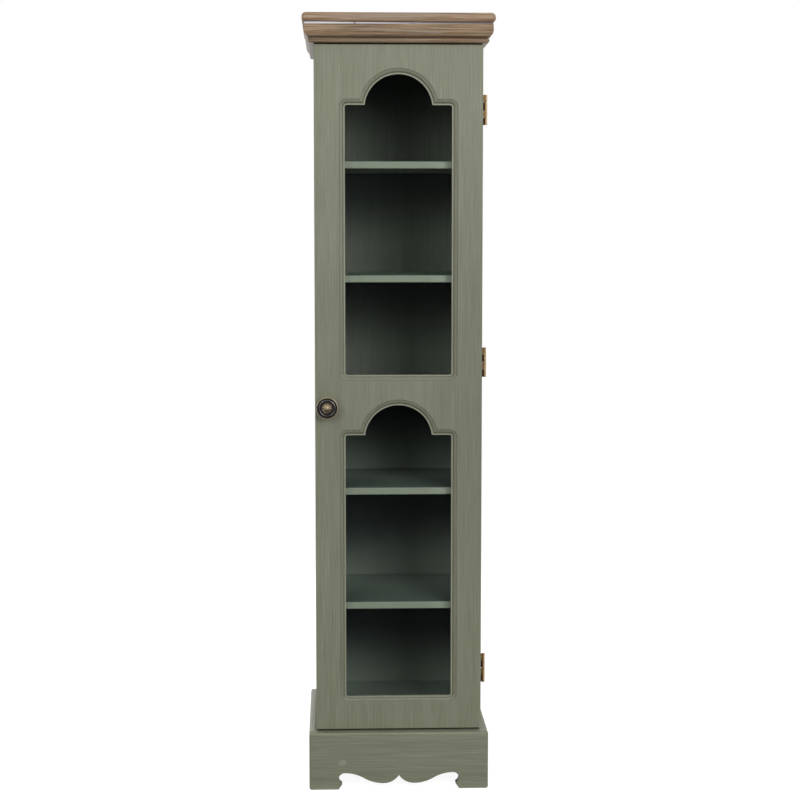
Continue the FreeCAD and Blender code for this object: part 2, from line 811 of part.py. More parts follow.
def cornice_top():
    inner = half_width - moulding_inner
    piece("cornice_back", box("cornice_back", (-inner, inner), (back - size("cornice_back_board"), back),
                              (carcass_top, moulding_top)))
    spread = half_width + size("spacer_overhang")
    spacer_front = door_front - size("spacer_overhang")
    spacer = box("cornice_spacer", (-spread, spread), (spacer_front, back), (moulding_top, spacer_top))
    piece("cornice_spacer", spacer)
    half = half_width + size("cap_overhang")
    depth = back - door_front + size("cap_overhang")
    corner = size("cap_corner")
    body = body_at("cornice_cap", 0, back, spacer_top)
    plan = sketch_on(body, "cornice_cap_plan", "XY_Plane")
    outline(plan, [(-half, 0), (-half, corner - depth, corner), (corner - half, -depth),
                   (half - corner, -depth, corner), (half, corner - depth), (half, 0)])
    pad(body, plan, size("cap_thickness"))

    def shown_edge(middle):
        flat = near(middle.z, 0) or near(middle.z, size("cap_thickness"))
        return flat and not near(middle.y, 0)

    nose = (size("cap_thickness") - size("cap_edge_flat")) / 2
    ease_edges(body, "cornice_cap_nose", nose, shown_edge)
    piece("cornice_cap", body)
    spots = sum(cornice_screws.values(), [])
    screw_group("cornice_screws", [(x, y, ceiling) for x, y in spots], UP, cornice_screw_form)


# Door

def window_corners(bottom, grow):
    """A window: a tall rectangle with soft corners and a round arch between two shoulders."""
    half = window_half + grow
    low = bottom - grow
    spread = window_half - size("window_shoulder")
    drop = size("arch_centre_drop")
    radius = (spread * spread + drop * drop).root()
    centre = bottom + size("window_height") - radius
    above_centre = drop + grow
    shoulder = centre + above_centre
    corner = size("window_corner") + grow
    arch = radius + grow
    reach = (arch * arch - above_centre * above_centre).root()
    return [
        (corner - half, low), (half - corner, low, corner), (half, low + corner),
        (half, shoulder - corner, corner), (half - corner, shoulder), (reach, shoulder, arch),
        (-reach, shoulder), (corner - half, shoulder, corner), (-half, shoulder - corner),
        (-half, low + corner, corner),
    ]


def window_sketch(body, name, grow, lift):
    sketch = sketch_on(body, name, "XZ_Plane", lift)
    for bottom in window_bottoms.values():
        outline(sketch, window_corners(bottom, as_size(grow)))
    return sketch


def sink_windows(body, name, grow, depth):
    pocket(body, window_sketch(body, name, grow, size("door_thickness")), depth)


def door_panel():
    """One slab with moulded window edges in front, and rebates and hinge recesses behind."""
    body = body_at("door_panel", 0, door_back, door_bottom)
    thick = size("door_thickness")
    slab = sketch_on(body, "door_slab", "XZ_Plane")
    rectangle(slab, (-half_width, half_width), (as_size(0), door_height))
    pad(body, slab, thick)
    ease_edges(body, "door_edge", size("door_edge_round"), lambda middle: near(middle.y, -thick))

    ovolo = size("ovolo_radius")
    above_land = ovolo - (size("land_depth") - size("quirk_depth"))
    ovolo_wall = size("land_width") - ovolo + (ovolo * ovolo - above_land * above_land).root()
    quirk_edge = sunk_edge(body, -thick)
    sink_windows(body, "window_quirk", ovolo_wall + ovolo + size("quirk_width"), size("quirk_depth"))
    ease_edges(body, "window_quirk_bevel", size("quirk_bevel"), quirk_edge, "Chamfer")
    ovolo_edge = sunk_edge(body, size("quirk_depth") - thick)
    sink_windows(body, "window_ovolo", ovolo_wall, size("quirk_depth") + ovolo + size("ovolo_wall"))
    ease_edges(body, "window_ovolo_round", ovolo, ovolo_edge)
    land = window_sketch(body, "window_land", ovolo_wall + ovolo / 2, thick - size("lip_thickness"))
    pad(body, land, size("lip_thickness") - size("land_depth"))
    sink_windows(body, "window_opening", 0, thick)

    rebates = sketch_on(body, "glass_rebates", "XZ_Plane")
    wide = window_half + size("rebate_width")
    for bottom in window_bottoms.values():
        rectangle(rebates, (-wide, wide), (bottom - size("rebate_width"),
                                           bottom + size("window_height") + size("rebate_width")))
    pocket(body, rebates, thick - size("lip_thickness"), along_normal=True)

    mortises = sketch_on(body, "door_mortises", "XZ_Plane")
    pilots = sketch_on(body, "door_pilots", "XZ_Plane")
    for height in hinge_heights.values():
        rectangle(mortises, (half_width - size("leaf_width"), half_width),
                  (height - size("leaf_height") / 2, height + size("leaf_height") / 2))
        for offset in hinge_screw_offsets:
            hole(pilots, hinge_screw_x, height + offset, pilot_radius)
    for offset in strike_screw_offsets:
        hole(pilots, catch_x, catch_z - door_bottom + offset, pilot_radius)
    pocket(body, mortises, size("leaf_thickness"), along_normal=True)
    pocket(body, pilots, size("door_screw_length"), along_normal=True)

    counterbore = sketch_on(body, "knob_counterbore", "XZ_Plane")
    hole(counterbore, knob_x, knob_height, size("washer_diameter") / 2 + size("washer_room"))
    pocket(body, counterbore, counterbore_depth, along_normal=True)
    bore = sketch_on(body, "knob_bore", "XZ_Plane")
    hole(bore, knob_x, knob_height, size("knob_screw_diameter") / 2 + size("knob_screw_clearance"))
    pocket(body, bore, thick, along_normal=True)
    piece("door_panel", body)


def glazing(window):
    """A pane against the lip of its rebate, held by four beads flush with the back of the door."""
    bottom = door_bottom + window_bottoms[window] - size("rebate_width")
    top = bottom + size("window_height") + 2 * size("rebate_width")
    half = window_half + size("rebate_width")
    lip = door_front + size("lip_thickness")
    glass_back = lip + size("glass_thickness")
    gap = size("glass_clearance")
    name = f"glass_{window}"
    piece(name, box(name, (gap - half, half - gap), (lip, glass_back), (bottom + gap, top - gap)))
    wide = size("bead_width")
    spans = {
        "left": ((-half, wide - half), (bottom, top)),
        "right": ((half - wide, half), (bottom, top)),
        "bottom": ((wide - half, half - wide), (bottom, bottom + wide)),
        "top": ((wide - half, half - wide), (top - wide, top)),
    }
    for where, (x, z) in spans.items():
        name = f"glazing_bead_{window}_{where}"
        piece(name, box(name, x, (glass_back, door_back), z))


# Hinges

def hinge_leaf(hinge, owner, knuckles, plate, screw_start, screw_direction):
    """A leaf: a plate with two countersunk holes, and its own knuckles round the pin."""
    name = f"hinge_{hinge}_{owner}_leaf"
    low = door_bottom + hinge_heights[hinge] - size("leaf_height") / 2
    high = low + size("leaf_height")
    step = size("leaf_height") / 4
    members = [box(f"{name}_plate", (half_width - size("leaf_width"), half_width), plate, (low, high))]
    for knuckle in knuckles:
        bottom = low + step * knuckle + size("knuckle_gap") / 2
        top = bottom + step - size("knuckle_gap")
        members.append(box(f"{name}_neck_{knuckle}", (half_width, hinge_x), plate, (bottom, top)))
        foot = (hinge_x, hinge_y, bottom)
        members.append(rod(f"{name}_knuckle_{knuckle}", foot, UP, barrel_radius, top - bottom))
    bore_radius = size("pin_diameter") / 2 + size("pin_clearance")
    bore = rod(f"{name}_bore", (hinge_x, hinge_y, low), UP, bore_radius, size("leaf_height"))
    middle = door_bottom + hinge_heights[hinge]
    form = (head_radius, size("leaf_thickness"), shank_radius, size("leaf_thickness") * 2)
    spots = [(hinge_screw_x, screw_start, middle + offset) for offset in hinge_screw_offsets]
    sinks = countersinks(f"{name}_sink", spots, screw_direction, form)
    piece(name, cut(name, fuse(f"{name}_blank", members), [bore] + sinks))


def hinges():
    for hinge, height in hinge_heights.items():
        thick = size("leaf_thickness")
        carcass_plate = (carcass_front, carcass_front + thick)
        hinge_leaf(hinge, "carcass", (0, 2), carcass_plate, carcass_front, BACKWARD)
        door_plate = (door_back - thick, door_back)
        hinge_leaf(hinge, "door", (1, 3), door_plate, door_back, FORWARD)
        low = door_bottom + height - size("leaf_height") / 2
        name = f"hinge_{hinge}_pin"
        piece(name, rod(name, (hinge_x, hinge_y, low), UP, size("pin_diameter") / 2, size("leaf_height")))
    for owner, start, direction, length in (
            ("carcass", carcass_front, BACKWARD, size("carcass_screw_length")),
            ("door", door_back, FORWARD, size("door_screw_length"))):
        spots = [(hinge_screw_x, start, door_bottom + height + offset)
                 for height in hinge_heights.values() for offset in hinge_screw_offsets]
        form = (head_radius, size("leaf_thickness"), shank_radius, length)
        screw_group(f"hinge_{owner}_screws", spots, direction, form)


# Knob

def knob():
    """A turned knob: a base, a waisted neck and a stepped face of rings round a middle dome."""
    body = body_at("knob_turning", knob_x, door_front, knob_z)
    profile = sketch_on(body, "knob_profile", "XY_Plane")
    rim = size("knob_diameter") / 2
    base = size("knob_base_diameter") / 2
    neck = size("knob_neck_diameter") / 2
    rim_inner = rim - size("knob_rim_width")
    ring_outer = rim_inner - size("knob_outer_groove_width")
    ring_inner = ring_outer - size("knob_ring_width")
    dome = ring_inner - size("knob_inner_groove_width")
    base_top = size("knob_base_height")
    neck_start = base_top + size("knob_cove_height")
    neck_end = neck_start + size("knob_neck_length")
    flare_end = neck_end + size("knob_flare_height")
    bevel_end = flare_end + size("knob_back_bevel")
    flare_rim = rim - size("knob_back_bevel")
    flare = arc_radius(flare_rim - neck, size("knob_flare_height"))
    rim_front = knob_face + size("knob_rim_proud")
    soft = size("knob_rim_round")
    ring_front = knob_face + size("knob_ring_proud")
    crown = arc_radius(size("knob_ring_crown"), size("knob_ring_width") / 2)
    dome_wall = knob_face + size("knob_dome_wall")
    dome_round = arc_radius(size("knob_dome_rise"), dome)
    outline(profile, [
        (0, 0), (base, 0), (base, -base_top), (neck, -neck_start),
        (neck, -neck_end, flare), (flare_rim, -flare_end), (rim, -bevel_end),
        (rim, soft - rim_front, -soft), (rim - soft, -rim_front), (rim_inner, -rim_front),
        (rim_inner, -knob_face), (ring_outer, -knob_face), (ring_outer, -ring_front, -crown),
        (ring_inner, -ring_front), (ring_inner, -knob_face), (dome, -knob_face),
        (dome, -dome_wall, -dome_round), (0, -knob_projection),
    ])
    turning = body.newObject("PartDesign::Revolution", "knob_revolution")
    turning.Profile = profile
    turning.ReferenceAxis = (profile, ["V_Axis"])
    turning.Angle = 360
    document.recompute()
    bore = rod("knob_thread", (knob_x, door_front, knob_z), FORWARD,
               size("knob_screw_diameter") / 2 + size("screw_clearance"), size("knob_screw_reach"))
    piece("knob", cut("knob", body, [bore]))


def knob_fixing():
    seat = door_back - counterbore_depth
    washer = size("washer_thickness")
    shank = size("knob_screw_diameter") / 2
    ring = rod("knob_washer_disc", (knob_x, seat, knob_z), BACKWARD, size("washer_diameter") / 2, washer)
    eye_radius = shank + size("knob_screw_clearance")
    eye = rod("knob_washer_eye", (knob_x, seat, knob_z), BACKWARD, eye_radius, washer)
    piece("knob_washer", cut("knob_washer", ring, [eye]))
    length = seat + washer - door_front + size("knob_screw_reach")
    under_head = (knob_x, seat + washer, knob_z)
    head = rod("knob_screw_head", under_head, BACKWARD, size("knob_screw_head_diameter") / 2,
               size("knob_screw_head_height"))
    stem = rod("knob_screw_stem", under_head, FORWARD, shank, length)
    piece("knob_screw", fuse("knob_screw", [head, stem]))


# Magnetic catch

strike_back = door_back + size("strike_thickness")
pole_front = strike_back + size("catch_running_gap")
catch_front = pole_front + size("pole_proud")
catch_screw_y = catch_front + size("catch_screw_setback")


def catch():
    half_magnet = size("magnet_thickness") / 2
    half_slot = half_magnet + size("pole_thickness")
    heights = (catch_z - size("magnet_length") / 2, catch_z + size("magnet_length") / 2)
    slot_back = pole_front + size("magnet_depth")
    shell = box("catch_shell", (-inner_half, -inner_half + size("catch_width")),
                (catch_front, catch_front + size("catch_depth")),
                (catch_z - size("catch_length") / 2, catch_z + size("catch_length") / 2))
    slot = box("catch_slot", (catch_x - half_slot, catch_x + half_slot), (pole_front, slot_back), heights)
    length = size("catch_width") + size("catch_screw_bite")
    form = (head_radius, size("catch_screw_head_height"), shank_radius, length)
    face = -inner_half + size("catch_width")
    spots = [(face, catch_screw_y, catch_z + offset) for offset in catch_screw_offsets]
    holes = countersinks("catch_hole", spots, LEFTWARD, form)
    piece("catch_housing", cut("catch_housing", shell, [slot] + holes))
    piece("catch_magnet", box("catch_magnet", (catch_x - half_magnet, catch_x + half_magnet),
                              (catch_front, slot_back), heights))
    pole_spans = {
        "left": (catch_x - half_slot, catch_x - half_magnet),
        "right": (catch_x + half_magnet, catch_x + half_slot),
    }
    poles = [box(f"catch_pole_{side}", span, (pole_front, slot_back), heights)
             for side, span in pole_spans.items()]
    piece("catch_pole_plates", group("catch_pole_plates", poles))
    screw_group("catch_screws", spots, LEFTWARD, form)


def strike():
    wide = size("strike_width") / 2
    tall = size("strike_length") / 2
    plate = box("strike_blank", (catch_x - wide, catch_x + wide), (door_back, strike_back),
                (catch_z - tall, catch_z + tall))
    form = (head_radius, size("strike_thickness"), shank_radius, size("door_screw_length"))
    spots = [(catch_x, strike_back, catch_z + offset) for offset in strike_screw_offsets]
    piece("strike_plate", cut("strike_plate", plate, countersinks("strike_hole", spots, FORWARD, form)))
    screw_group("strike_screws", spots, FORWARD, form)


for panel_side in SIDES:
    side_panel(panel_side)
end_panels()
back_panel()
for shelf_number, shelf_top in enumerate(shelf_tops, start=1):
    shelf(shelf_number, shelf_top)
plinth_front_board()
for board_side in SIDES:
    plinth_side_board(board_side)
plinth_inside()
cornice_front()
for return_side in SIDES:
    cornice_return(return_side)
cornice_top()
door_panel()
for window_name in window_bottoms:
    glazing(window_name)
hinges()
knob()
knob_fixing()
catch()
strike()
document.recompute()

faults = [thing.Name for thing in document.Objects if {"Invalid", "Error"} & set(thing.State)]
faults += [solid.Label for solid in pieces if solid.Shape.isNull() or not solid.Shape.isValid()]
if faults:
    raise RuntimeError(f"failed: {', '.join(faults)}")

os.makedirs("parts", exist_ok=True)
for solid in pieces:
    solid.Shape.exportStep(f"parts/{solid.Label}.step")
    print(f"{solid.Label}: {len(solid.Shape.Solids)} solid(s), {solid.Shape.Volume:.1f} mm3")
print(f"{len(pieces)} sub-parts")
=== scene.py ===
# %% [markdown]
# # A tall glass display cabinet
# The cabinet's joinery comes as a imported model: boards, door, hinges, knob and catch, each a node of its own in
# metres. This lesson loads that model as a fixed frame, photographs it as in a studio, and gives every surface a
# finish. The boards are already the right shape, so most of the work is in the finishes. Small turned and
# repeated things, the knob, the screws and the pins, are made again with more detail.

# %% Load the frame
import math

import bmesh
import bpy
from mathutils import Matrix, Vector


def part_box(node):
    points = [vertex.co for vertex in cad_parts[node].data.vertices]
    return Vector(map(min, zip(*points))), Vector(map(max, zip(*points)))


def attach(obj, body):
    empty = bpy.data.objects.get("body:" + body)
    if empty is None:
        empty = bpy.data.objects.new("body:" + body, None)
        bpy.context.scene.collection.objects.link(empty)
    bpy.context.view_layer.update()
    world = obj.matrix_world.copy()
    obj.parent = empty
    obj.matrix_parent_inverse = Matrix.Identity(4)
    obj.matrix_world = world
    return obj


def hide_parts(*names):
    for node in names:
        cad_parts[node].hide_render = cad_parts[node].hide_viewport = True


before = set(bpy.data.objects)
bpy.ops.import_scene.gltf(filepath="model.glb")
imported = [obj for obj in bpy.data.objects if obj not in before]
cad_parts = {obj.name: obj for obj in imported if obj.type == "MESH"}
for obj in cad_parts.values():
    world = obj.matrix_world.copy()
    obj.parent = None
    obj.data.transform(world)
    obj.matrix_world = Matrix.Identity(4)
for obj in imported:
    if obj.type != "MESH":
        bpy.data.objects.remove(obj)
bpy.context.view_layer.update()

# %% [markdown]
# ## Camera
# The photograph was taken from about three metres, a little left of the middle and a little above half height,
# with a long lens. A long lens keeps the sides of the door nearly parallel. The camera looks slightly down, so the
# door narrows a touch towards the floor. No shift and no depth of field are needed.

# %% Camera
LOOK_DOWN = 0.09441  # radians
LOOK_RIGHT = 0.03779
camera_data = bpy.data.cameras.new("studio_camera")
camera_data.sensor_width = 36.0
camera_data.lens = 79.55
camera = bpy.data.objects.new("studio_camera", camera_data)
camera.location = (-0.10916, -3.07455, 0.94346)
camera.rotation_euler = (math.pi / 2 - LOOK_DOWN, 0.0, -LOOK_RIGHT)
bpy.context.scene.collection.objects.link(camera)
bpy.context.scene.camera = camera
bpy.context.scene.view_settings.view_transform = "Standard"
print("camera at", [round(value, 3) for value in camera.location], "with a lens of", camera_data.lens, "mm")

# %% [markdown]
# ## Shader maths as Python
# A material in Blender is a graph of nodes, and a graph is tedious to write one link at a time. This class wraps
# one output socket. Adding or multiplying two wires adds a Math node, so a mask can be written as a formula. Every
# other node comes from the one method `node`, which sets a node's settings before it feeds its sockets.

# %% A wire between nodes
class Wire:
    """One output of a node. Formulas on wires add Math nodes to the wire's tree."""

    def __init__(self, tree, socket):
        self.tree = tree
        self.socket = socket

    def feed(self, node, values):
        """Sets each named socket of a node to a value, or links a wire to it."""
        for name, value in values.items():
            if isinstance(value, Wire):
                self.tree.links.new(value.socket, node.inputs[name])
            else:
                node.inputs[name].default_value = value

    def node(self, kind, settings=None, values=None, out=0):
        """Adds a node of this kind, with its settings and then its sockets, and gives one of its outputs."""
        made = self.tree.nodes.new(kind)
        for name, value in (settings or {}).items():
            if name == "stops":
                while len(made.color_ramp.elements) < len(value):
                    made.color_ramp.elements.new(1.0)
                for element, (position, colour) in zip(made.color_ramp.elements, value):
                    element.position = position
                    element.color = colour
            else:
                setattr(made, name, value)
        self.feed(made, values or {})
        return Wire(self.tree, made.outputs[out])

    def math(self, operation, first, second=0.0):
        return self.node("ShaderNodeMath", {"operation": operation}, {0: first, 1: second})

    def __add__(self, other):
        return self.math("ADD", self, other)

    __radd__ = __add__

    def __sub__(self, other):
        return self.math("SUBTRACT", self, other)

    def __rsub__(self, other):
        return self.math("SUBTRACT", other, self)

    def __mul__(self, other):
        return self.math("MULTIPLY", self, other)

    __rmul__ = __mul__

    def __truediv__(self, other):
        return self.math("DIVIDE", self, other)

    def __rtruediv__(self, other):
        return self.math("DIVIDE", other, self)

    def __pow__(self, power):
        return self.math("POWER", self, power)

    def __abs__(self):
        return self.math("ABSOLUTE", self)

    def step(self, low, high):
        """0 below low, 1 above high and a smooth rise between. With low above high, it falls."""
        return self.node("ShaderNodeMapRange", {"interpolation_type": "SMOOTHSTEP"},
                         {"Value": self, "From Min": low, "From Max": high})

    def band(self, low, full, fade, high):
        """0 below low, 1 from full to fade and 0 above high."""
        return self.step(low, full) * self.step(high, fade)

    def ramp(self, stops):
        return self.node("ShaderNodeValToRGB", {"stops": stops}, {"Fac": self})

    def mix(self, first, second):
        """A colour from first to second, as this wire goes from 0 to 1."""
        return self.node("ShaderNodeMix", {"data_type": "RGBA"}, {0: self, 6: first, 7: second}, 2)

    def part(self, axis):
        return self.node("ShaderNodeSeparateXYZ", None, {"Vector": self}, axis)

    def scaled(self, x, y, z):
        return self.node("ShaderNodeMapping", None, {"Vector": self, "Scale": (x, y, z)})

    def noise(self, scale, detail=2.0, roughness=0.5, distortion=0.0):
        return self.node("ShaderNodeTexNoise", None, {"Vector": self, "Scale": scale, "Detail": detail,
                                                      "Roughness": roughness, "Distortion": distortion})

    def bump(self, distance, strength=1.0):
        return self.node("ShaderNodeBump", None, {"Height": self, "Distance": distance, "Strength": strength})


def span(first, second):
    """How far a point is from an axis, by its distances in two directions."""
    return (first * first + second * second) ** 0.5


def grey(level):
    return (level, level, level, 1.0)


def seen(red, green, blue):
    """The linear colour for one that is written as it looks on a screen, from 0 to 255."""
    linear = []
    for value in (red, green, blue):
        share = value / 255
        linear.append(share / 12.92 if share <= 0.04045 else ((share + 0.055) / 1.055) ** 2.4)
    return (*linear, 1.0)


def finish(name):
    """A new material, its surface shader and its Object coordinates."""
    material = bpy.data.materials.new(name)
    material.use_nodes = True
    tree = material.node_tree
    place = Wire(tree, tree.nodes.new("ShaderNodeTexCoord").outputs["Object"])
    return material, tree.nodes["Principled BSDF"], place


print("a mid grey on screen is", round(seen(128, 128, 128)[0], 3), "in the shader")

# %% [markdown]
# ## Studio
# Two large soft boxes stand in front, one on each side and above the cabinet, and the right one is the brighter. A
# pale surround fills the shadows. Together they light the door evenly, but each shelf shades the one under it, so the
# inside stays deep and dark, as it does in the photograph. Two small lamps aim at the knob and give brass its glints.
# Two weaker boxes behind keep the back and sides readable. They stay out of reflections, because a lamp mirrored in
# the top of the open door would burn that edge out.
#
# The floor and the world are white to the camera, and to metal and glass, but give less light of their own: Light
# Path tells those rays apart. The dark card in front shows only in reflections. It stands for the dark room behind
# the photographer. Without it, the panes would mirror the white floor and hide the shelves.

# %% Lights
def soft_box(name, place, target, width, height, power):
    data = bpy.data.lights.new(name, "AREA")
    data.shape = "RECTANGLE"
    data.size = width
    data.size_y = height
    data.energy = power
    lamp = bpy.data.objects.new(name, data)
    lamp.location = place
    lamp.rotation_euler = (Vector(place) - Vector(target)).to_track_quat("Z", "Y").to_euler()
    bpy.context.scene.collection.objects.link(lamp)
    return lamp


AIM = (0.0, 0.0, 0.6)
KNOB = tuple((low + high) / 2 for low, high in zip(*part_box("knob")))
lamps = [
    soft_box("soft_box_left", (-1.75, -3.25, 1.7), AIM, 1.6, 1.8, 31.5),
    soft_box("soft_box_right", (1.55, -3.25, 1.7), AIM, 1.6, 1.8, 63.0),
    soft_box("glint_left", (-1.9, -1.6, 2.3), KNOB, 0.2, 0.2, 6.0),
    soft_box("glint_right", (2.0, -1.6, 2.4), KNOB, 0.2, 0.2, 7.0),
]
rear_lamps = [
    soft_box("soft_box_rear_left", (-1.9, 1.6, 1.7), AIM, 1.0, 1.4, 24.0),
    soft_box("soft_box_rear_right", (1.9, 1.6, 1.7), AIM, 1.0, 1.4, 24.0),
]
for lamp in rear_lamps:
    lamp.visible_glossy = False
print("lamps:", [lamp.name for lamp in lamps + rear_lamps])


# %% Floor, world and a dark card
def looked_at(wire):
    """1 for rays from the camera, and for those that metal and glass send on."""
    path = wire.tree.nodes.new("ShaderNodeLightPath")
    rays = [Wire(wire.tree, path.outputs[name]) for name in ("Is Camera Ray", "Is Glossy Ray", "Is Transmission Ray")]
    return (rays[0] + rays[1] + rays[2]).step(0.0, 0.5)


def slab(name, corners, faces, material):
    mesh = bpy.data.meshes.new(name)
    mesh.from_pydata(corners, [], faces)
    mesh.materials.append(material)
    made = bpy.data.objects.new(name, mesh)
    bpy.context.scene.collection.objects.link(made)
    return made


def shaded_by(place, old_shader, new_shader):
    """Puts another shader in place of a material's surface shader."""
    place.tree.links.new(new_shader.socket, place.tree.nodes["Material Output"].inputs["Surface"])
    place.tree.nodes.remove(old_shader)


GLOW = 0.93  # the floor's own white next to the cabinet, where the lamps add the rest
SHADOW_END, WHITE_START = 1.2, 2.4  # the floor takes shadows nearer than the first and is plain white past the second
floor_paint, floor_shader, floor_place = finish("floor_paint")
floor_off = span(floor_place.part(0), floor_place.part(1))
floor_glow = floor_place.node("ShaderNodeEmission", None, {"Color": GLOW + (1 - GLOW) * floor_off.step(0.4, 1.4)})
floor_shade = floor_place.node("ShaderNodeBsdfDiffuse", None, {"Color": grey(0.30)})
floor_near = floor_place.node("ShaderNodeAddShader", None, {0: floor_glow, 1: floor_shade})
floor_far = floor_place.node("ShaderNodeEmission", None, {"Color": grey(1.0)})
floor_white = floor_place.node("ShaderNodeMixShader", None, {
    0: floor_off.step(SHADOW_END, WHITE_START), 1: floor_near, 2: floor_far})
floor_grey = floor_place.node("ShaderNodeBsdfDiffuse", None, {"Color": grey(0.40)})
floor_look = floor_place.node("ShaderNodeMixShader", None, {
    0: looked_at(floor_place), 1: floor_grey, 2: floor_white})
shaded_by(floor_place, floor_shader, floor_look)
REACH = 30.0
floor = slab("floor", [(-REACH, -REACH, 0.0), (REACH, -REACH, 0.0), (REACH, REACH, 0.0), (-REACH, REACH, 0.0)],
             [(0, 1, 2, 3)], floor_paint)

CARD = 6.0  # the card lies from the plinth's front to this distance, and stands up there
CARD_START, CARD_LIFT, CARD_TOP = -0.15, 0.004, 3.6
card_paint, card_shader, card_place = finish("card_paint")
card_place.feed(card_shader, {"Base Color": grey(0.01), "Roughness": 1.0, "Specular IOR Level": 0.0})
card = slab("dark_card", [
    (-CARD, CARD_START, CARD_LIFT), (CARD, CARD_START, CARD_LIFT),
    (CARD, -CARD, CARD_LIFT), (-CARD, -CARD, CARD_LIFT),
    (CARD, -CARD, CARD_TOP), (-CARD, -CARD, CARD_TOP)], [(0, 3, 2, 1), (3, 5, 4, 2)], card_paint)
for kind in ("camera", "diffuse", "transmission", "shadow", "volume_scatter"):
    setattr(card, "visible_" + kind, False)

world = bpy.data.worlds.new("studio_world")
world.use_nodes = True
bpy.context.scene.world = world
sky = world.node_tree.nodes["Background"]
sky_start = Wire(world.node_tree, sky.outputs[0])
AMBIENT = 0.33
sky_start.feed(sky, {"Color": grey(1.0), "Strength": looked_at(sky_start) * (1 - AMBIENT) + AMBIENT})
print("the world gives", AMBIENT, "of white light and looks white")

# %% [markdown]
# ## Sage paint
# The cabinet is brushed with a sage-green eggshell paint, and the open grain of the boards still shows through it as
# fine lines. A noise texture becomes grain when it is squeezed along one axis, so one function makes the paint for
# boards that run up, along or back. The lines change the colour a little, the gloss a little, and the height by a
# tenth of a millimetre.
#
# A few places differ, and each has a small function that changes the colour there: painted shade round the middle of
# the door and in its window mouldings, with a painted highlight on their land, painted shade under the shelves, a
# cooler tone with painted light on the lying boards inside, painted light on the front edges of the shelves, a
# painted sheen and painted shade on the plinth's left return, and a stopped nail hole in the apron. All read the
# Object coordinates, which are metres in the cabinet's own frame.

# %% Sage paint
GRAIN_STRETCH = 0.022
# the colour of the painted shade on the door
SAGE_SHADE = seen(74, 75, 58)
SAGE_DARK = seen(110, 112, 92)
SAGE_MID = seen(122, 124, 104)
SAGE_LIGHT = seen(134, 136, 117)
# the colour of the painted shade under the shelves
UNDER_SHELF_SHADE = seen(50, 56, 55)


def along_grain(place, axis, stretch=GRAIN_STRETCH):
    return place.scaled(*[stretch if axis == index else 1.0 for index in range(3)])


def painted_boards(name, axis, extra=None):
    """Brushed paint over boards whose grain runs along X, Y or Z as axis is 0, 1 or 2."""
    material, shader, place = finish(name)
    run = along_grain(place, axis)
    lines = run.noise(520.0, 3.0, 0.6)
    hairs = run.noise(1400.0, 2.0, 0.5)
    bands = run.noise(90.0, 2.0)
    clouds = place.noise(5.0, 3.0)
    tone = 0.60 * lines + 0.18 * hairs + 0.14 * bands + 0.08 * clouds
    colour = tone.ramp([(0.36, SAGE_DARK), (0.5, SAGE_MID), (0.64, SAGE_LIGHT)])
    if extra:
        colour = extra(place, colour)
    relief = (0.65 * lines + 0.35 * hairs).bump(0.0005, 0.5)
    place.feed(shader, {"Base Color": colour, "Roughness": 0.40 + 0.20 * hairs, "Normal": relief,
                        "Specular IOR Level": 0.5})
    return material


def filled_hole(place, colour):
    """A stopped nail hole on the apron, sanded and touched up in a slightly lighter paint."""
    across = 0.8 * (place.part(0) - HOLE_X)
    up = place.part(2) - HOLE_Z
    patch = span(across, up).step(0.0062, 0.0042) * place.noise(420.0, 2.0).step(0.40, 0.56)
    return (0.85 * patch).mix(colour, seen(148, 150, 137))


def inner_painted_light(place, colour):
    """A cooler tone on the lying boards inside, with painted light: darker at the front and paler towards the back.
    """
    # painted light: darker at the front of the board, paler towards the back
    deep = place.part(1).step(SHELF_FRONT + 0.02, SHELF_FRONT + 0.21)
    coat = deep.mix(seen(106, 116, 104), seen(168, 177, 163))
    return (0.75 + 0.3 * place.noise(60.0)).mix(colour, coat)


def shelf_edge_light(place, colour):
    """The inner tone, with painted light on the front edges of the shelves, paler still towards their ends."""
    edge = place.part(1).step(SHELF_FRONT + 0.0016, SHELF_FRONT + 0.0006)
    right = place.part(0)
    # painted light: the ends of the front edges are paler, more on the right
    ends = 0.6 * right.step(-0.060, -0.088) + right.step(0.045, 0.088)
    return edge.mix(inner_painted_light(place, colour), ends.mix(seen(141, 145, 123), seen(166, 170, 148)))


def shade_under_shelves(place, colour):
    """Painted shade on the inner faces, full just under each board, fading lower down. Some slants to the left."""
    shade = 0.0
    # painted shade: darker just under each board
    for board, (reach, slant, strength) in SHELF_SHADE.items():
        height = place.part(2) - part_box(board)[0].z
        below = height - slant * place.part(0)
        shade = shade + strength * below.step(-reach - SHADE_FADE, -reach) * height.step(0.002, 0.0)
    inside = abs(place.part(0)).step(INNER_FACE + 0.0004, INNER_FACE + 0.0001)
    return (shade * inside).mix(colour, UNDER_SHELF_SHADE)


def door_shade_and_highlight(place, colour):
    """Painted shade round the door's middle and in the moulding grooves, and a painted highlight on their land."""
    # painted shade: a darker band round the middle of the door, stronger to the right
    reach = abs(place.part(2) - DOOR_MIDDLE).step(0.55, 0.05)
    colour = (reach * (0.12 + 0.16 * place.part(0).step(0.02, 0.15))).mix(colour, SAGE_SHADE)
    # painted shade in the grooves of the window mouldings, found at known depths behind the face, and a painted
    # highlight on their land
    depth = place.part(1) - DOOR_LOW.y
    corner = depth.band(0.0024, 0.0042, 0.00480, 0.00488)
    groove = depth.band(0.0003, 0.0009, 0.0012, 0.0016)
    round_part = depth.band(0.0013, 0.0018, 0.0028, 0.0036)
    land = depth.band(0.00482, 0.00489, 0.0052, 0.0060)
    near = abs(place.part(0)).step(0.110, 0.106) * abs(place.part(2) - DOOR_MIDDLE).step(0.565, 0.560)
    groove_shade = ((0.60 * corner + 0.35 * groove + 0.22 * round_part) * near).mix(colour, SAGE_SHADE)
    return (0.25 * land * near).mix(groove_shade, seen(168, 171, 154))


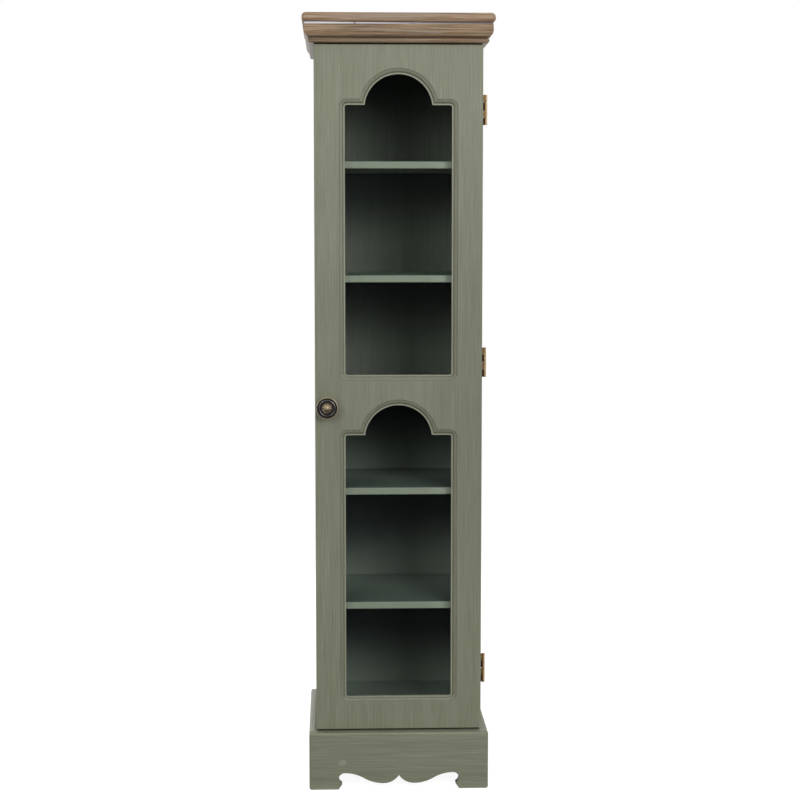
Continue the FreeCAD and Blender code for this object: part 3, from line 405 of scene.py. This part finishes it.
def ledge_sheen_and_shade(place, colour):
    """A painted sheen pales the top of the left return, and painted shade darkens its corner next to the side."""
    # painted sheen on the ledge, and painted shade in its corner next to the side
    corner = place.part(0).step(SIDE_FACE - 0.0050, SIDE_FACE - 0.0015)
    marks_and_painted_light = corner.mix(seen(186, 182, 176), seen(70, 67, 60))
    return (0.65 * place.part(2).step(LEDGE - 0.0012, LEDGE - 0.0004)).mix(colour, marks_and_painted_light)


HOLE_X, HOLE_Z = -0.0962, 0.0465
SHELF_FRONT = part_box("shelf_1")[0].y
# how far down the painted shade under a board takes to fade out
SHADE_FADE = 0.115
SHELF_SHADE = {  # the board above: how far down the painted shade stays full, its slant and its strength
    "shelf_1": (0.078, 0.0, 0.92), "shelf_2": (0.071, 0.13, 0.92), "shelf_3": (0.055, 0.0, 0.92),
    "shelf_4": (0.029, 0.0, 0.80), "shelf_5": (0.024, 0.11, 0.80), "top_panel": (0.022, 0.0, 0.80),
}
INNER_FACE = -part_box("side_panel_left")[1].x
DOOR_LOW, DOOR_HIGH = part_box("door_panel")
DOOR_MIDDLE = (DOOR_LOW.z + DOOR_HIGH.z) / 2
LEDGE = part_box("plinth_left")[1].z
SIDE_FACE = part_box("side_panel_left")[0].x
AXES = {"across": 0, "back": 1, "up": 2}
paints = {way: painted_boards("sage_paint_" + way, axis) for way, axis in AXES.items()}
SPECIAL_PAINTS = {
    "apron": ("across", filled_hole), "shelf": ("across", shelf_edge_light), "bottom": ("across", inner_painted_light),
    "door": ("up", door_shade_and_highlight), "side": ("up", shade_under_shelves), "ledge": ("back", ledge_sheen_and_shade),
}
for use, (way, extra) in SPECIAL_PAINTS.items():
    paints[use] = painted_boards("sage_paint_" + use, AXES[way], extra)
print("paints:", sorted(paints))

# %% [markdown]
# ## Weathered cornice
# The top is a brown board with a moulding under it, limed and rubbed back so that a grey wash stays in the grain.
# Three noises stretched along the board give it: wide brown streaks, the wash in long patches and thin dark pores.
# The cap board is paler and pinker than the moulding. The side mouldings are mitred and run back, so their grain
# does too. They are waxed: a clear coat mirrors the white surround at a grazing angle, so from the front they look
# nearly white, as in the photograph, and from the side they are as brown as the rest.

# %% Weathered wood
def weathered(name, axis, browns, wash, wax, extra=None):
    """Limed brown wood with its grain along an axis. The browns go from dark to light, and wax is a coat's weight."""
    material, shader, place = finish(name)
    run = along_grain(place, axis, 0.018)
    streaks = run.noise(520.0, 4.0, 0.66, 0.12)
    pores = run.noise(1250.0, 3.0, 0.6)
    patches = along_grain(place, axis, 0.05).noise(120.0, 4.0, 0.6)
    brown = (0.7 * streaks + 0.3 * pores).ramp(list(zip((0.37, 0.46, 0.54, 0.63), browns)))
    washed = (0.6 * patches.step(0.50, 0.64)).mix(brown, wash)
    rings = abs(along_grain(place, axis, 0.01).noise(330.0, 2.0, 0.5) - 0.5).step(0.03, 0.0)
    dark = 0.7 * pores.step(0.46, 0.36) * patches.step(0.55, 0.42)
    colour = (0.38 * rings + dark).mix(washed, browns[0])
    if extra:
        colour = extra(place, colour)
    relief = (0.5 * streaks + 0.5 * pores).bump(0.0009, 0.55)
    place.feed(shader, {"Base Color": colour, "Roughness": 0.50 + 0.25 * pores, "Normal": relief,
                        "Specular IOR Level": 0.35, "Coat Weight": wax, "Coat Roughness": 0.25})
    return material


def groove_painted_shade(place, colour):
    """Painted shade in the groove between the bead and the big round above it, and on the bead, more to the left."""
    height = place.part(2) - CORNICE_LOW.z
    # painted shade in the groove, and on the bead
    groove = height.band(0.0056, 0.0072, 0.0098, 0.0118)
    bead = height.step(0.0066, 0.0052) * (0.12 + 0.26 * place.part(0).step(0.08, -0.08))
    return (0.6 * groove + bead).mix(colour, seen(64, 45, 31))


CORNICE_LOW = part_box("cornice_front")[0]
CAP_BROWNS = (seen(97, 74, 56), seen(142, 115, 90), seen(165, 138, 112), seen(185, 162, 140))
MOULDING_BROWNS = (seen(82, 62, 46), seen(131, 108, 83), seen(151, 127, 100), seen(168, 148, 122))
MOULDING_WASH = seen(148, 136, 120)
cornice_woods = {
    "across": weathered("moulding_wood_across", AXES["across"], MOULDING_BROWNS, MOULDING_WASH, 0.0, groove_painted_shade),
    "back": weathered("moulding_wood_back", AXES["back"], MOULDING_BROWNS, MOULDING_WASH, 0.4, groove_painted_shade),
    "cap": weathered("cap_wood", AXES["across"], CAP_BROWNS, seen(154, 140, 127), 0.0),
}
print("cornice woods:", sorted(cornice_woods))

# %% [markdown]
# ## Plain boards
# What nobody sees stays unpainted: the cleats, the foot blocks and the strips behind the plinth and the cornice are
# sawn softwood. The back is a thin pressed board, painted inside and left brown outside. One node has both faces, so
# its material reads the Object coordinates and changes colour between them.

# %% Softwood, back board and pale strip
def softwood(name, axis):
    material, shader, place = finish(name)
    run = along_grain(place, axis, 0.05)
    rings = run.noise(75.0, 3.0, 0.55, 0.6)
    fibre = run.noise(800.0, 2.0)
    colour = (0.7 * rings + 0.3 * fibre).ramp([
        (0.34, seen(170, 128, 84)), (0.50, seen(205, 170, 126)), (0.66, seen(221, 190, 148))])
    place.feed(shader, {"Base Color": colour, "Roughness": 0.62 + 0.2 * fibre,
                        "Normal": fibre.bump(0.0004, 0.5), "Specular IOR Level": 0.25})
    return material


def back_board(name, middle):
    """Pressed board, brown behind its middle plane and painted in front, with painted light paling its lower half."""
    material, shader, place = finish(name)
    run = along_grain(place, AXES["up"])
    lines = run.noise(310.0, 3.0, 0.62)
    coat = (0.40 + 0.3 * lines).ramp([
        (0.36, seen(109, 112, 98)), (0.5, seen(121, 124, 110)), (0.64, seen(133, 136, 123))])
    # painted light: the lower half of the inside is paler
    painted_light_low = place.part(2).step(0.72, 0.60)
    inside = shade_under_shelves(place, (0.8 * painted_light_low).mix(coat, seen(141, 147, 133)))
    fibre = place.noise(900.0, 4.0, 0.7)
    flecks = place.noise(210.0, 3.0, 0.6)
    outside = (0.5 * fibre + 0.5 * flecks).ramp([
        (0.36, seen(104, 79, 55)), (0.50, seen(134, 105, 77)), (0.64, seen(158, 128, 97))])
    colour = place.part(1).step(middle - 0.0001, middle + 0.0001).mix(inside, outside)
    place.feed(shader, {"Base Color": colour, "Roughness": 0.55 + 0.2 * flecks,
                        "Normal": fibre.bump(0.0003, 0.4), "Specular IOR Level": 0.25})
    return material


def pale_strip(name, low, high):
    """A strip of grey-white paint, greyer to the right. Painted shadow comes down from its top, more to the right."""
    material, shader, place = finish(name)
    scuffs = along_grain(place, AXES["across"], 0.06).noise(190.0, 3.0, 0.6)
    along = place.part(0).step(low.x, high.x)
    up = (place.part(2) - low.z) / (high.z - low.z)
    paint = along.mix(seen(208, 212, 219), seen(138, 142, 148))
    # painted shadow from the top of the strip, deeper to the right
    painted_shading = (up + 0.72 * along + 0.5 * (scuffs - 0.5)).step(0.92, 1.12)
    # a chip and scuffs, where the brown shows through
    chip = abs(place.part(0) - CHIP_X).step(0.0016, 0.0008)
    marks_and_painted_light = (painted_shading + chip + scuffs.step(0.36, 0.30)).step(0.0, 1.0)
    colour = (0.9 * marks_and_painted_light).mix(paint, seen(98, 80, 66))
    place.feed(shader, {"Base Color": colour, "Roughness": 0.6 + 0.15 * scuffs,
                        "Normal": scuffs.bump(0.0003, 0.5), "Specular IOR Level": 0.25})
    return material


CHIP_X = -0.0722
softwoods = {way: softwood("softwood_" + way, axis) for way, axis in AXES.items()}
back_low, back_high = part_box("back_panel")
boards = {
    "back": back_board("back_board", (back_low.y + back_high.y) / 2),
    "pale": pale_strip("pale_strip", *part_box("cornice_spacer")),
}
print("softwoods:", sorted(softwoods), "other boards:", sorted(boards))

# %% [markdown]
# ## Metals, plastic and glass
# The hinges are dull brass, with a painted highlight on the barrels and painted shade, nearly black, next to the
# door. The knob is the same metal with a dark patina, rubbed off its rim, ring and dome. The hinge screws are brass
# too, and the other screws are plain steel. The panes are thin clear glass with a faint cool cast, made as a mix of a
# tinted Transparent and a Glossy shader by Fresnel, so that lamps still light the shelves behind them.

# %% Metals
def metal(name, dark, light, roughness):
    material, shader, place = finish(name)
    cloud = place.noise(140.0, 4.0, 0.6)
    speck = place.noise(1260.0, 2.0)
    colour = (0.7 * cloud + 0.3 * speck).ramp([(0.34, dark), (0.6, light)])
    place.feed(shader, {"Base Color": colour, "Metallic": 1.0, "Roughness": roughness + 0.22 * cloud,
                        "Normal": speck.bump(0.00008, 0.4)})
    return material


def hinge_brass(name, axis_x, axis_y, radius):
    """Brass with a painted highlight on each barrel, darker towards the door, and black painted shade in the gap."""
    material, shader, place = finish(name)
    across = place.part(0) - axis_x
    deep = place.part(1) - axis_y
    off = span(across, deep) / radius
    cloud = place.noise(260.0, 4.0, 0.6)
    plain = cloud.ramp([(0.34, seen(110, 84, 48)), (0.6, seen(144, 117, 76))])
    # painted highlight and painted shade across each barrel
    painted_shading = (0.5 + 0.5 * across / radius + 0.5 * (cloud - 0.5)).ramp([
        (0.06, seen(106, 76, 44)), (0.42, seen(146, 112, 70)), (0.60, seen(208, 178, 130)),
        (0.82, seen(170, 141, 94)), (1.0, seen(130, 107, 72))])
    colour = off.step(1.15, 1.05).mix(plain, painted_shading)
    # painted shade, nearly black, on the leaves in the gap next to the door
    gap_shade = off.band(1.03, 1.10, 2.2, 2.6) * deep.step(0.0, 0.0003)
    place.feed(shader, {"Base Color": (0.94 * gap_shade).mix(colour, seen(20, 13, 5)), "Metallic": 0.35 - 0.3 * gap_shade,
                        "Roughness": 0.34 + 0.2 * cloud + 0.3 * gap_shade, "Normal": cloud.bump(0.0001, 0.4)})
    return material


def aged_brass(name, middle_x, middle_z):
    """Brass that was darkened all over and polished bright on what stands proud: the rim, the ring and the dome."""
    material, shader, place = finish(name)
    across = place.part(0) - middle_x
    up = place.part(2) - middle_z
    radius = span(across, up)
    turn = up.math("ARCTAN2", up, across) * FLUTES
    flute = (0.5 - 0.5 * turn.math("COSINE", turn)) ** 2.0 * radius.step(0.0006, 0.0045)
    wear = place.noise(420.0, 3.0, 0.6)
    rim = radius.step(0.0166, 0.0172)
    ring = radius.band(0.0113, 0.0120, 0.0138, 0.0145)
    dome = radius.step(0.0098, 0.0092)
    tan = wear.ramp([(0.30, seen(120, 106, 84)), (0.52, seen(154, 138, 112)), (0.72, seen(182, 166, 140))])
    worn_grey = wear.ramp([(0.30, seen(58, 57, 56)), (0.6, seen(112, 111, 110))])
    gold = (0.6 * wear + 0.3 * (1 - flute)).ramp([
        (0.26, seen(96, 82, 62)), (0.5, seen(136, 121, 97)), (0.74, seen(168, 153, 128))])
    colour = (ring * 0.85).mix(seen(22, 19, 18), worn_grey)
    colour = rim.mix(colour, tan)
    colour = dome.mix(colour, gold)
    shine = rim + ring + dome
    place.feed(shader, {"Base Color": colour, "Metallic": 0.35 + 0.45 * (ring + dome),
                        "Roughness": 0.50 - 0.30 * shine + 0.10 * dome + 0.08 * wear,
                        "Normal": wear.bump(0.00006, 0.3)})
    return material


pin_low, pin_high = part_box("hinge_upper_pin")
PIN_X = (pin_low.x + pin_high.x) / 2
PIN_Y = (pin_low.y + pin_high.y) / 2
BARREL_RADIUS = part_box("hinge_upper_carcass_leaf")[1].x - PIN_X
FLUTES = 9
metals = {
    "brass": hinge_brass("dull_brass", PIN_X, PIN_Y, BARREL_RADIUS),
    "knob": aged_brass("aged_brass", KNOB[0], KNOB[2]),
    "steel": metal("plain_steel", seen(120, 120, 122), seen(188, 188, 190), 0.26),
    "magnet": metal("ferrite", seen(30, 30, 32), seen(52, 52, 54), 0.55),
}
print("metals:", sorted(metals))


# %% Plastic and glass
def moulded_plastic(name):
    material, shader, place = finish(name)
    grain = place.noise(1500.0, 3.0, 0.6)
    colour = grain.ramp([(0.35, seen(84, 60, 42)), (0.65, seen(102, 75, 54))])
    place.feed(shader, {"Base Color": colour, "Roughness": 0.38 + 0.2 * grain, "Normal": grain.bump(0.0001, 0.5)})
    return material


def clear_pane(name):
    """A pane that bends no light. Its Fresnel is turned over on faces seen from inside the glass."""
    material, shader, place = finish(name)
    tint = place.node("ShaderNodeBsdfTransparent", None, {"Color": (0.962, 0.988, 0.998, 1.0)})
    gloss = place.node("ShaderNodeBsdfGlossy", None, {"Color": grey(1.0), "Roughness": 0.02})
    behind = place.node("ShaderNodeNewGeometry", None, None, "Backfacing")
    edge = place.node("ShaderNodeFresnel", None, {"IOR": GLASS_IOR + behind * (1 / GLASS_IOR - GLASS_IOR)})
    look = place.node("ShaderNodeMixShader", None, {0: edge, 1: tint, 2: gloss})
    shaded_by(place, shader, look)
    return material


GLASS_IOR = 1.45
glass = clear_pane("clear_pane")
plastic = moulded_plastic("brown_plastic")
print("made", glass.name, "and", plastic.name)

# %% [markdown]
# ## Who wears what
# Each node of the frame gets its finish by name. A board's paint follows the way its grain runs: the door and the
# sides stand up, the plinth and the shelves lie across, and the returns of plinth and cornice run back.

# %% Dress the frame
LEVELS = ("lower", "upper")
WEAR = {
    paints["up"]: [f"glazing_bead_{level}_{side}" for level in LEVELS for side in ("left", "right")],
    paints["across"]: [f"glazing_bead_{level}_{side}" for level in LEVELS for side in ("bottom", "top")]
                      + ["top_panel", "plinth_cleat_front"],
    paints["door"]: ["door_panel"],
    paints["side"]: ["side_panel_left", "side_panel_right"],
    paints["bottom"]: ["bottom_panel"],
    paints["shelf"]: ["shelf_1", "shelf_2", "shelf_3", "shelf_4", "shelf_5"],
    paints["apron"]: ["plinth_front"],
    paints["ledge"]: ["plinth_left"],
    paints["back"]: ["plinth_right"],
    cornice_woods["cap"]: ["cornice_cap"],
    cornice_woods["across"]: ["cornice_front"],
    cornice_woods["back"]: ["cornice_left", "cornice_right"],
    boards["pale"]: ["cornice_spacer"],
    boards["back"]: ["back_panel"],
    softwoods["across"]: ["cornice_back", "plinth_back"],
    softwoods["back"]: ["plinth_cleat_left", "plinth_cleat_right"],
    softwoods["up"]: ["foot_blocks"],
    metals["steel"]: ["catch_pole_plates", "strike_plate", "knob_washer"],
    metals["magnet"]: ["catch_magnet"],
    plastic: ["catch_housing"],
    glass: ["glass_lower", "glass_upper"],
    metals["brass"]: [f"hinge_{height}_{leaf}" for height in ("lower", "middle", "upper")
                      for leaf in ("carcass_leaf", "door_leaf", "pin")],
}
for material, names in WEAR.items():
    for name in names:
        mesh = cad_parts[name].data
        mesh.materials.clear()
        mesh.materials.append(material)
print("dressed", sum(len(names) for names in WEAR.values()), "nodes")

# %% [markdown]
# ## Geometry Nodes helpers
# The knob, the screws and the pins follow rules: a profile turned about an axis, or one shape set on many points. A
# Geometry Nodes tree says such a rule once, with named inputs for its sizes. The same Wire class builds the tree.
# When the tree has run, its result is kept as a plain mesh and the modifier is taken away.

# %% Trees and their results
SOCKETS = {float: "NodeSocketFloat", int: "NodeSocketInt", bpy.types.Material: "NodeSocketMaterial"}
SHARP = math.radians(34)  # edges that turn by more than this stay crisp


def geometry_tree(name, inputs):
    """A new tree with one geometry input and these named inputs, and its inputs as wires by name."""
    tree = bpy.data.node_groups.new(name, "GeometryNodeTree")
    tree.interface.new_socket("Geometry", in_out="INPUT", socket_type="NodeSocketGeometry")
    for label, kind in inputs.items():
        tree.interface.new_socket(label, in_out="INPUT", socket_type=SOCKETS[kind])
    tree.interface.new_socket("Geometry", in_out="OUTPUT", socket_type="NodeSocketGeometry")
    start = tree.nodes.new("NodeGroupInput")
    wires = {label: Wire(tree, start.outputs[label]) for label in ("Geometry", *inputs)}
    return tree, wires


def close_tree(tree, shape, finish_wire):
    """Gives the shape its finish and makes it the tree's result."""
    real = shape.node("GeometryNodeRealizeInstances", None, {"Geometry": shape})
    clad = shape.node("GeometryNodeSetMaterial", None, {"Geometry": real, "Material": finish_wire})
    tree.links.new(clad.socket, tree.nodes.new("NodeGroupOutput").inputs["Geometry"])
    print(tree.name, "tree has", len(tree.nodes), "nodes")


def grow(name, points, edges, tree, values, aim=None):
    """Runs a tree on a mesh of points and edges and keeps what it makes as a plain mesh at the origin."""
    seed_mesh = bpy.data.meshes.new(name + "_seed")
    seed_mesh.from_pydata(points, edges, [])
    if aim:
        store = seed_mesh.attributes.new("aim", "FLOAT_VECTOR", "POINT")
        store.data.foreach_set("vector", [number for _ in points for number in aim])
    seed_object = bpy.data.objects.new(name + "_seed", seed_mesh)
    bpy.context.scene.collection.objects.link(seed_object)
    modifier = seed_object.modifiers.new("rule", "NODES")
    modifier.node_group = tree
    for item in tree.interface.items_tree:
        if item.in_out == "INPUT" and item.name in values:
            modifier[item.identifier] = values[item.name]
    graph = bpy.context.evaluated_depsgraph_get()
    mesh = bpy.data.meshes.new_from_object(seed_object.evaluated_get(graph))
    mesh.name = name
    shell = bmesh.new()
    shell.from_mesh(mesh)
    bmesh.ops.recalc_face_normals(shell, faces=shell.faces)
    shell.to_mesh(mesh)
    shell.free()
    seed_object.modifiers.clear()
    bpy.data.objects.remove(seed_object)
    bpy.data.meshes.remove(seed_mesh)
    mesh.polygons.foreach_set("use_smooth", [True] * len(mesh.polygons))
    mesh.set_sharp_from_angle(angle=SHARP)
    made = bpy.data.objects.new(name, mesh)
    bpy.context.scene.collection.objects.link(made)
    print(name, "has", len(mesh.polygons), "faces")
    return made


# %% [markdown]
# ## Knob
# The knob is turned brass: a small base, a waisted neck, and a dished face with a rim, a raised ring and a dome cut
# with shallow flutes. A lathe follows a profile, and so does this tree. It takes a grid, reads the profile at one of
# its coordinates, and turns it by the other. The flutes are a cosine that repeats round the dome.

# %% Turning tree
FLUTE_PEAK = 2.6  # brings the highest value of share * (1 - share * share) to 1
turning, ways = geometry_tree(
    "turning", {"Segments": int, "Rows": int, "Flutes": int, "Flute Depth": float, "Dome Radius": float,
                "Finish": bpy.types.Material})
start = ways["Geometry"]
lathe = turning.nodes.new("GeometryNodeMeshGrid")
start.feed(lathe, {"Size X": 1.0, "Size Y": 1.0, "Vertices X": ways["Segments"] + 1, "Vertices Y": ways["Rows"]})
cell = Wire(turning, lathe.outputs["UV Map"])
angle = cell.part(0) * math.tau
profile = start.node("GeometryNodeMeshToCurve", None, {"Mesh": start})
reading = turning.nodes.new("GeometryNodeSampleCurve")
reading.mode = "FACTOR"
start.feed(reading, {"Curves": profile, "Factor": cell.part(1)})
point = Wire(turning, reading.outputs["Position"])
radius = point.part(0)
share = (radius / ways["Dome Radius"]).math("MINIMUM", radius / ways["Dome Radius"], 1.0)
flute = 0.5 - 0.5 * (angle * ways["Flutes"]).math("COSINE", angle * ways["Flutes"])
sunk = point.part(2) - ways["Flute Depth"] * flute * share * (1 - share * share) * FLUTE_PEAK
turned = start.node("ShaderNodeCombineXYZ", None, {
    "X": radius * angle.math("COSINE", angle), "Y": 0.0 - sunk, "Z": radius * angle.math("SINE", angle)})
shaped = start.node("GeometryNodeSetPosition", None, {"Geometry": Wire(turning, lathe.outputs["Mesh"]),
                                                      "Position": turned})
closed = start.node("GeometryNodeMergeByDistance", None, {"Geometry": shaped, "Distance": 0.000004})
close_tree(turning, closed, ways["Finish"])


# %% Knob
def bend(middle, radius, first, last, steps):
    """Points on an arc round a middle, from the first to the last angle in degrees."""
    turns = [math.radians(first + (last - first) * index / steps) for index in range(steps + 1)]
    return [(middle[0] + radius * math.cos(turn), middle[1] + radius * math.sin(turn)) for turn in turns]


MM = 0.001
DOME_WIDTH, DOME_FOOT, DOME_TOP = 9.2, 20.5, 28.0  # millimetres: half the width, and heights above the door
dome_height = DOME_TOP - DOME_FOOT
dome_radius = (DOME_WIDTH ** 2 + dome_height ** 2) / (2 * dome_height)
dome_start = math.degrees(math.asin((dome_radius - dome_height) / dome_radius))
knob_profile = [  # radius and height above the door in millimetres, from the base to the middle of the dome
    (0.0, 0.0), (9.2, 0.0), (9.5, 0.3), (9.5, 1.6), (9.1, 2.0),
    *bend((9.1, 5.6), 3.6, 270, 180, 8), (5.5, 7.6), (5.5, 9.0),
    (6.2, 10.6), (7.6, 12.2), (9.8, 13.6), (12.6, 14.7), (15.4, 15.25), (17.0, 15.4),
    (17.9, 15.9), (18.4, 16.6), (18.5, 17.4), (18.5, 19.2),
    *bend((17.65, 19.35), 0.85, 0, 90, 5), (17.2, 20.2), *bend((17.2, 19.8), 0.4, 90, 180, 3),
    (16.7, 19.2), (16.4, 19.0), (14.8, 19.0), (14.5, 19.2),
    (14.4, 19.9), (14.1, 20.35), (13.6, 20.7), (12.85, 20.88), (12.1, 20.7), (11.6, 20.35), (11.3, 19.9),
    (11.2, 19.2), (10.9, 19.0), (9.7, 19.0), (9.4, 19.2), (9.2, 19.8), (9.2, 20.5),
    *bend((0.0, DOME_TOP - dome_radius), dome_radius, dome_start, 90, 16)[1:],
]
door_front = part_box("knob")[1].y
knob_piece = grow("turned_knob", [(r * MM, 0.0, out * MM) for r, out in knob_profile],
                  [(index, index + 1) for index in range(len(knob_profile) - 1)], turning,
                  {"Segments": 128, "Rows": 190, "Flutes": FLUTES, "Flute Depth": 0.0004,
                   "Dome Radius": DOME_WIDTH * MM, "Finish": metals["knob"]})
knob_piece.data.transform(Matrix.Translation((KNOB[0], door_front, KNOB[2])))
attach(knob_piece, "door")
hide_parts("knob")

# %% [markdown]
# ## Screws and pins
# Every fastener is one shape set on several points: a head that tapers into a shank, with a cross cut into the head.
# The points are read from the frame, where the flat heads of the plain screws are. The tree turns each screw by a
# random angle with a fixed seed, because nobody lines up the crosses by hand.

# %% Fastener tree
SIZES = ("Head Radius", "Neck Radius", "Head Height", "Shank Radius", "Tip Radius", "Length", "Cross Length",
         "Cross Width", "Cross Depth")
fastener, ways = geometry_tree("fastener", {**{label: float for label in SIZES}, "Finish": bpy.types.Material})
start = ways["Geometry"]


def cone(low, high, height, sides):
    return start.node("GeometryNodeMeshCone", None, {"Vertices": sides, "Radius Bottom": low, "Radius Top": high,
                                                     "Depth": height})


def moved(mesh, x, y, z):
    there = start.node("ShaderNodeCombineXYZ", None, {"X": x, "Y": y, "Z": z})
    return start.node("GeometryNodeTransform", None, {"Geometry": mesh, "Translation": there})


def cut_bar(x, y):
    shape = start.node("ShaderNodeCombineXYZ", None, {"X": x, "Y": y, "Z": ways["Cross Depth"] * 2})
    return start.node("GeometryNodeMeshCube", None, {"Size": shape})


head = cone(ways["Head Radius"], ways["Neck Radius"], ways["Head Height"], 28)
shank_length = ways["Length"] - ways["Head Height"] * 0.5
shank = moved(cone(ways["Shank Radius"], ways["Tip Radius"], shank_length, 20), 0.0, 0.0, ways["Head Height"] * 0.5)
joined = start.node("GeometryNodeMeshBoolean", {"operation": "UNION"}, {"Mesh 2": head})
fastener.links.new(shank.socket, joined.socket.node.inputs["Mesh 2"])
crossed = start.node("GeometryNodeMeshBoolean", {"operation": "DIFFERENCE"}, {"Mesh 1": joined})
for bar in (cut_bar(ways["Cross Length"], ways["Cross Width"]), cut_bar(ways["Cross Width"], ways["Cross Length"])):
    fastener.links.new(bar.socket, crossed.socket.node.inputs["Mesh 2"])
aim = start.node("GeometryNodeInputNamedAttribute", {"data_type": "FLOAT_VECTOR"}, {"Name": "aim"})
facing = start.node("FunctionNodeAlignRotationToVector", {"axis": "Z"}, {"Vector": aim})
spin = start.node("FunctionNodeRandomValue", {"data_type": "FLOAT"}, {"Min": 0.0, "Max": math.tau, "Seed": 7}, 1)
own_turn = start.node("FunctionNodeAxisAngleToRotation", None, {"Axis": (0.0, 0.0, 1.0), "Angle": spin})
turn = start.node("FunctionNodeRotateRotation", {"rotation_space": "LOCAL"},
                  {"Rotation": facing, "Rotate By": own_turn})
copies = start.node("GeometryNodeInstanceOnPoints", None, {"Points": start, "Instance": crossed, "Rotation": turn})
close_tree(fastener, copies, ways["Finish"])


# %% Fasteners
def head_spots(node, axis, end):
    """Middles of a node's flat heads, which all lie on one of the node's outermost planes."""
    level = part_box(node)[end][axis]
    heads = []
    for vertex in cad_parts[node].data.vertices:
        if abs(vertex.co[axis] - level) > FLAT:
            continue
        near = [head for head in heads if (head[0] - vertex.co).length < HEAD_WIDTH]
        if near:
            near[0].append(vertex.co.copy())
        else:
            heads.append([vertex.co.copy()])
    spots = []
    for head in heads:
        spots.append(tuple((min(co[i] for co in head) + max(co[i] for co in head)) / 2 for i in range(3)))
    return spots


FLAT = 1e-5
HEAD_WIDTH = 0.009  # no head is wider, and no two heads are nearer
FORMS = {  # millimetres, in the order of SIZES
    "leaf": (2.6, 1.3, 1.4, 1.3, 0.5, 16.0, 2.9, 0.75, 0.8),
    "door": (2.6, 1.3, 1.4, 1.3, 0.5, 12.0, 2.9, 0.75, 0.8),
    "frame": (4.0, 2.0, 2.6, 2.0, 0.7, 30.0, 4.4, 1.1, 1.4),
    "cornice": (4.0, 2.0, 2.6, 2.0, 0.7, 31.0, 4.4, 1.1, 1.4),
    "catch": (2.6, 1.3, 1.4, 1.3, 0.5, 25.0, 2.9, 0.75, 0.8),
    "pin": (1.8, 0.8, 1.0, 0.8, 0.15, 14.0, 0.25, 0.25, 0.12),
    "knob": (4.0, 4.0, 2.4, 2.0, 1.6, 27.0, 4.6, 1.1, 1.5),
}
FASTENERS = {  # body, form, slot, the axis of the shanks, the end of the box where the heads are, and the shanks' way
    "hinge_carcass_screws": ("carcass", "leaf", "brass", 1, 0, 1.0),
    "hinge_door_screws": ("door", "door", "brass", 1, 1, -1.0),
    "catch_screws": ("carcass", "catch", "steel", 0, 1, -1.0),
    "strike_screws": ("door", "door", "steel", 1, 1, -1.0),
    "plinth_screws": ("carcass", "frame", "steel", 2, 0, 1.0),
    "cornice_screws": ("carcass", "cornice", "steel", 2, 0, 1.0),
    "back_panel_pins": ("carcass", "pin", "steel", 1, 1, -1.0),
    "knob_screw": ("door", "knob", "steel", 1, 1, -1.0),
}
for node, (body, form, slot, axis, end, sign) in FASTENERS.items():
    aim_way = [sign if index == axis else 0.0 for index in range(3)]
    values = {label: number * MM for label, number in zip(SIZES, FORMS[form])}
    values["Finish"] = metals[slot]
    piece = grow("cut_" + node, head_spots(node, axis, end), [], fastener, values, aim_way)
    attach(piece, body)
    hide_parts(node)
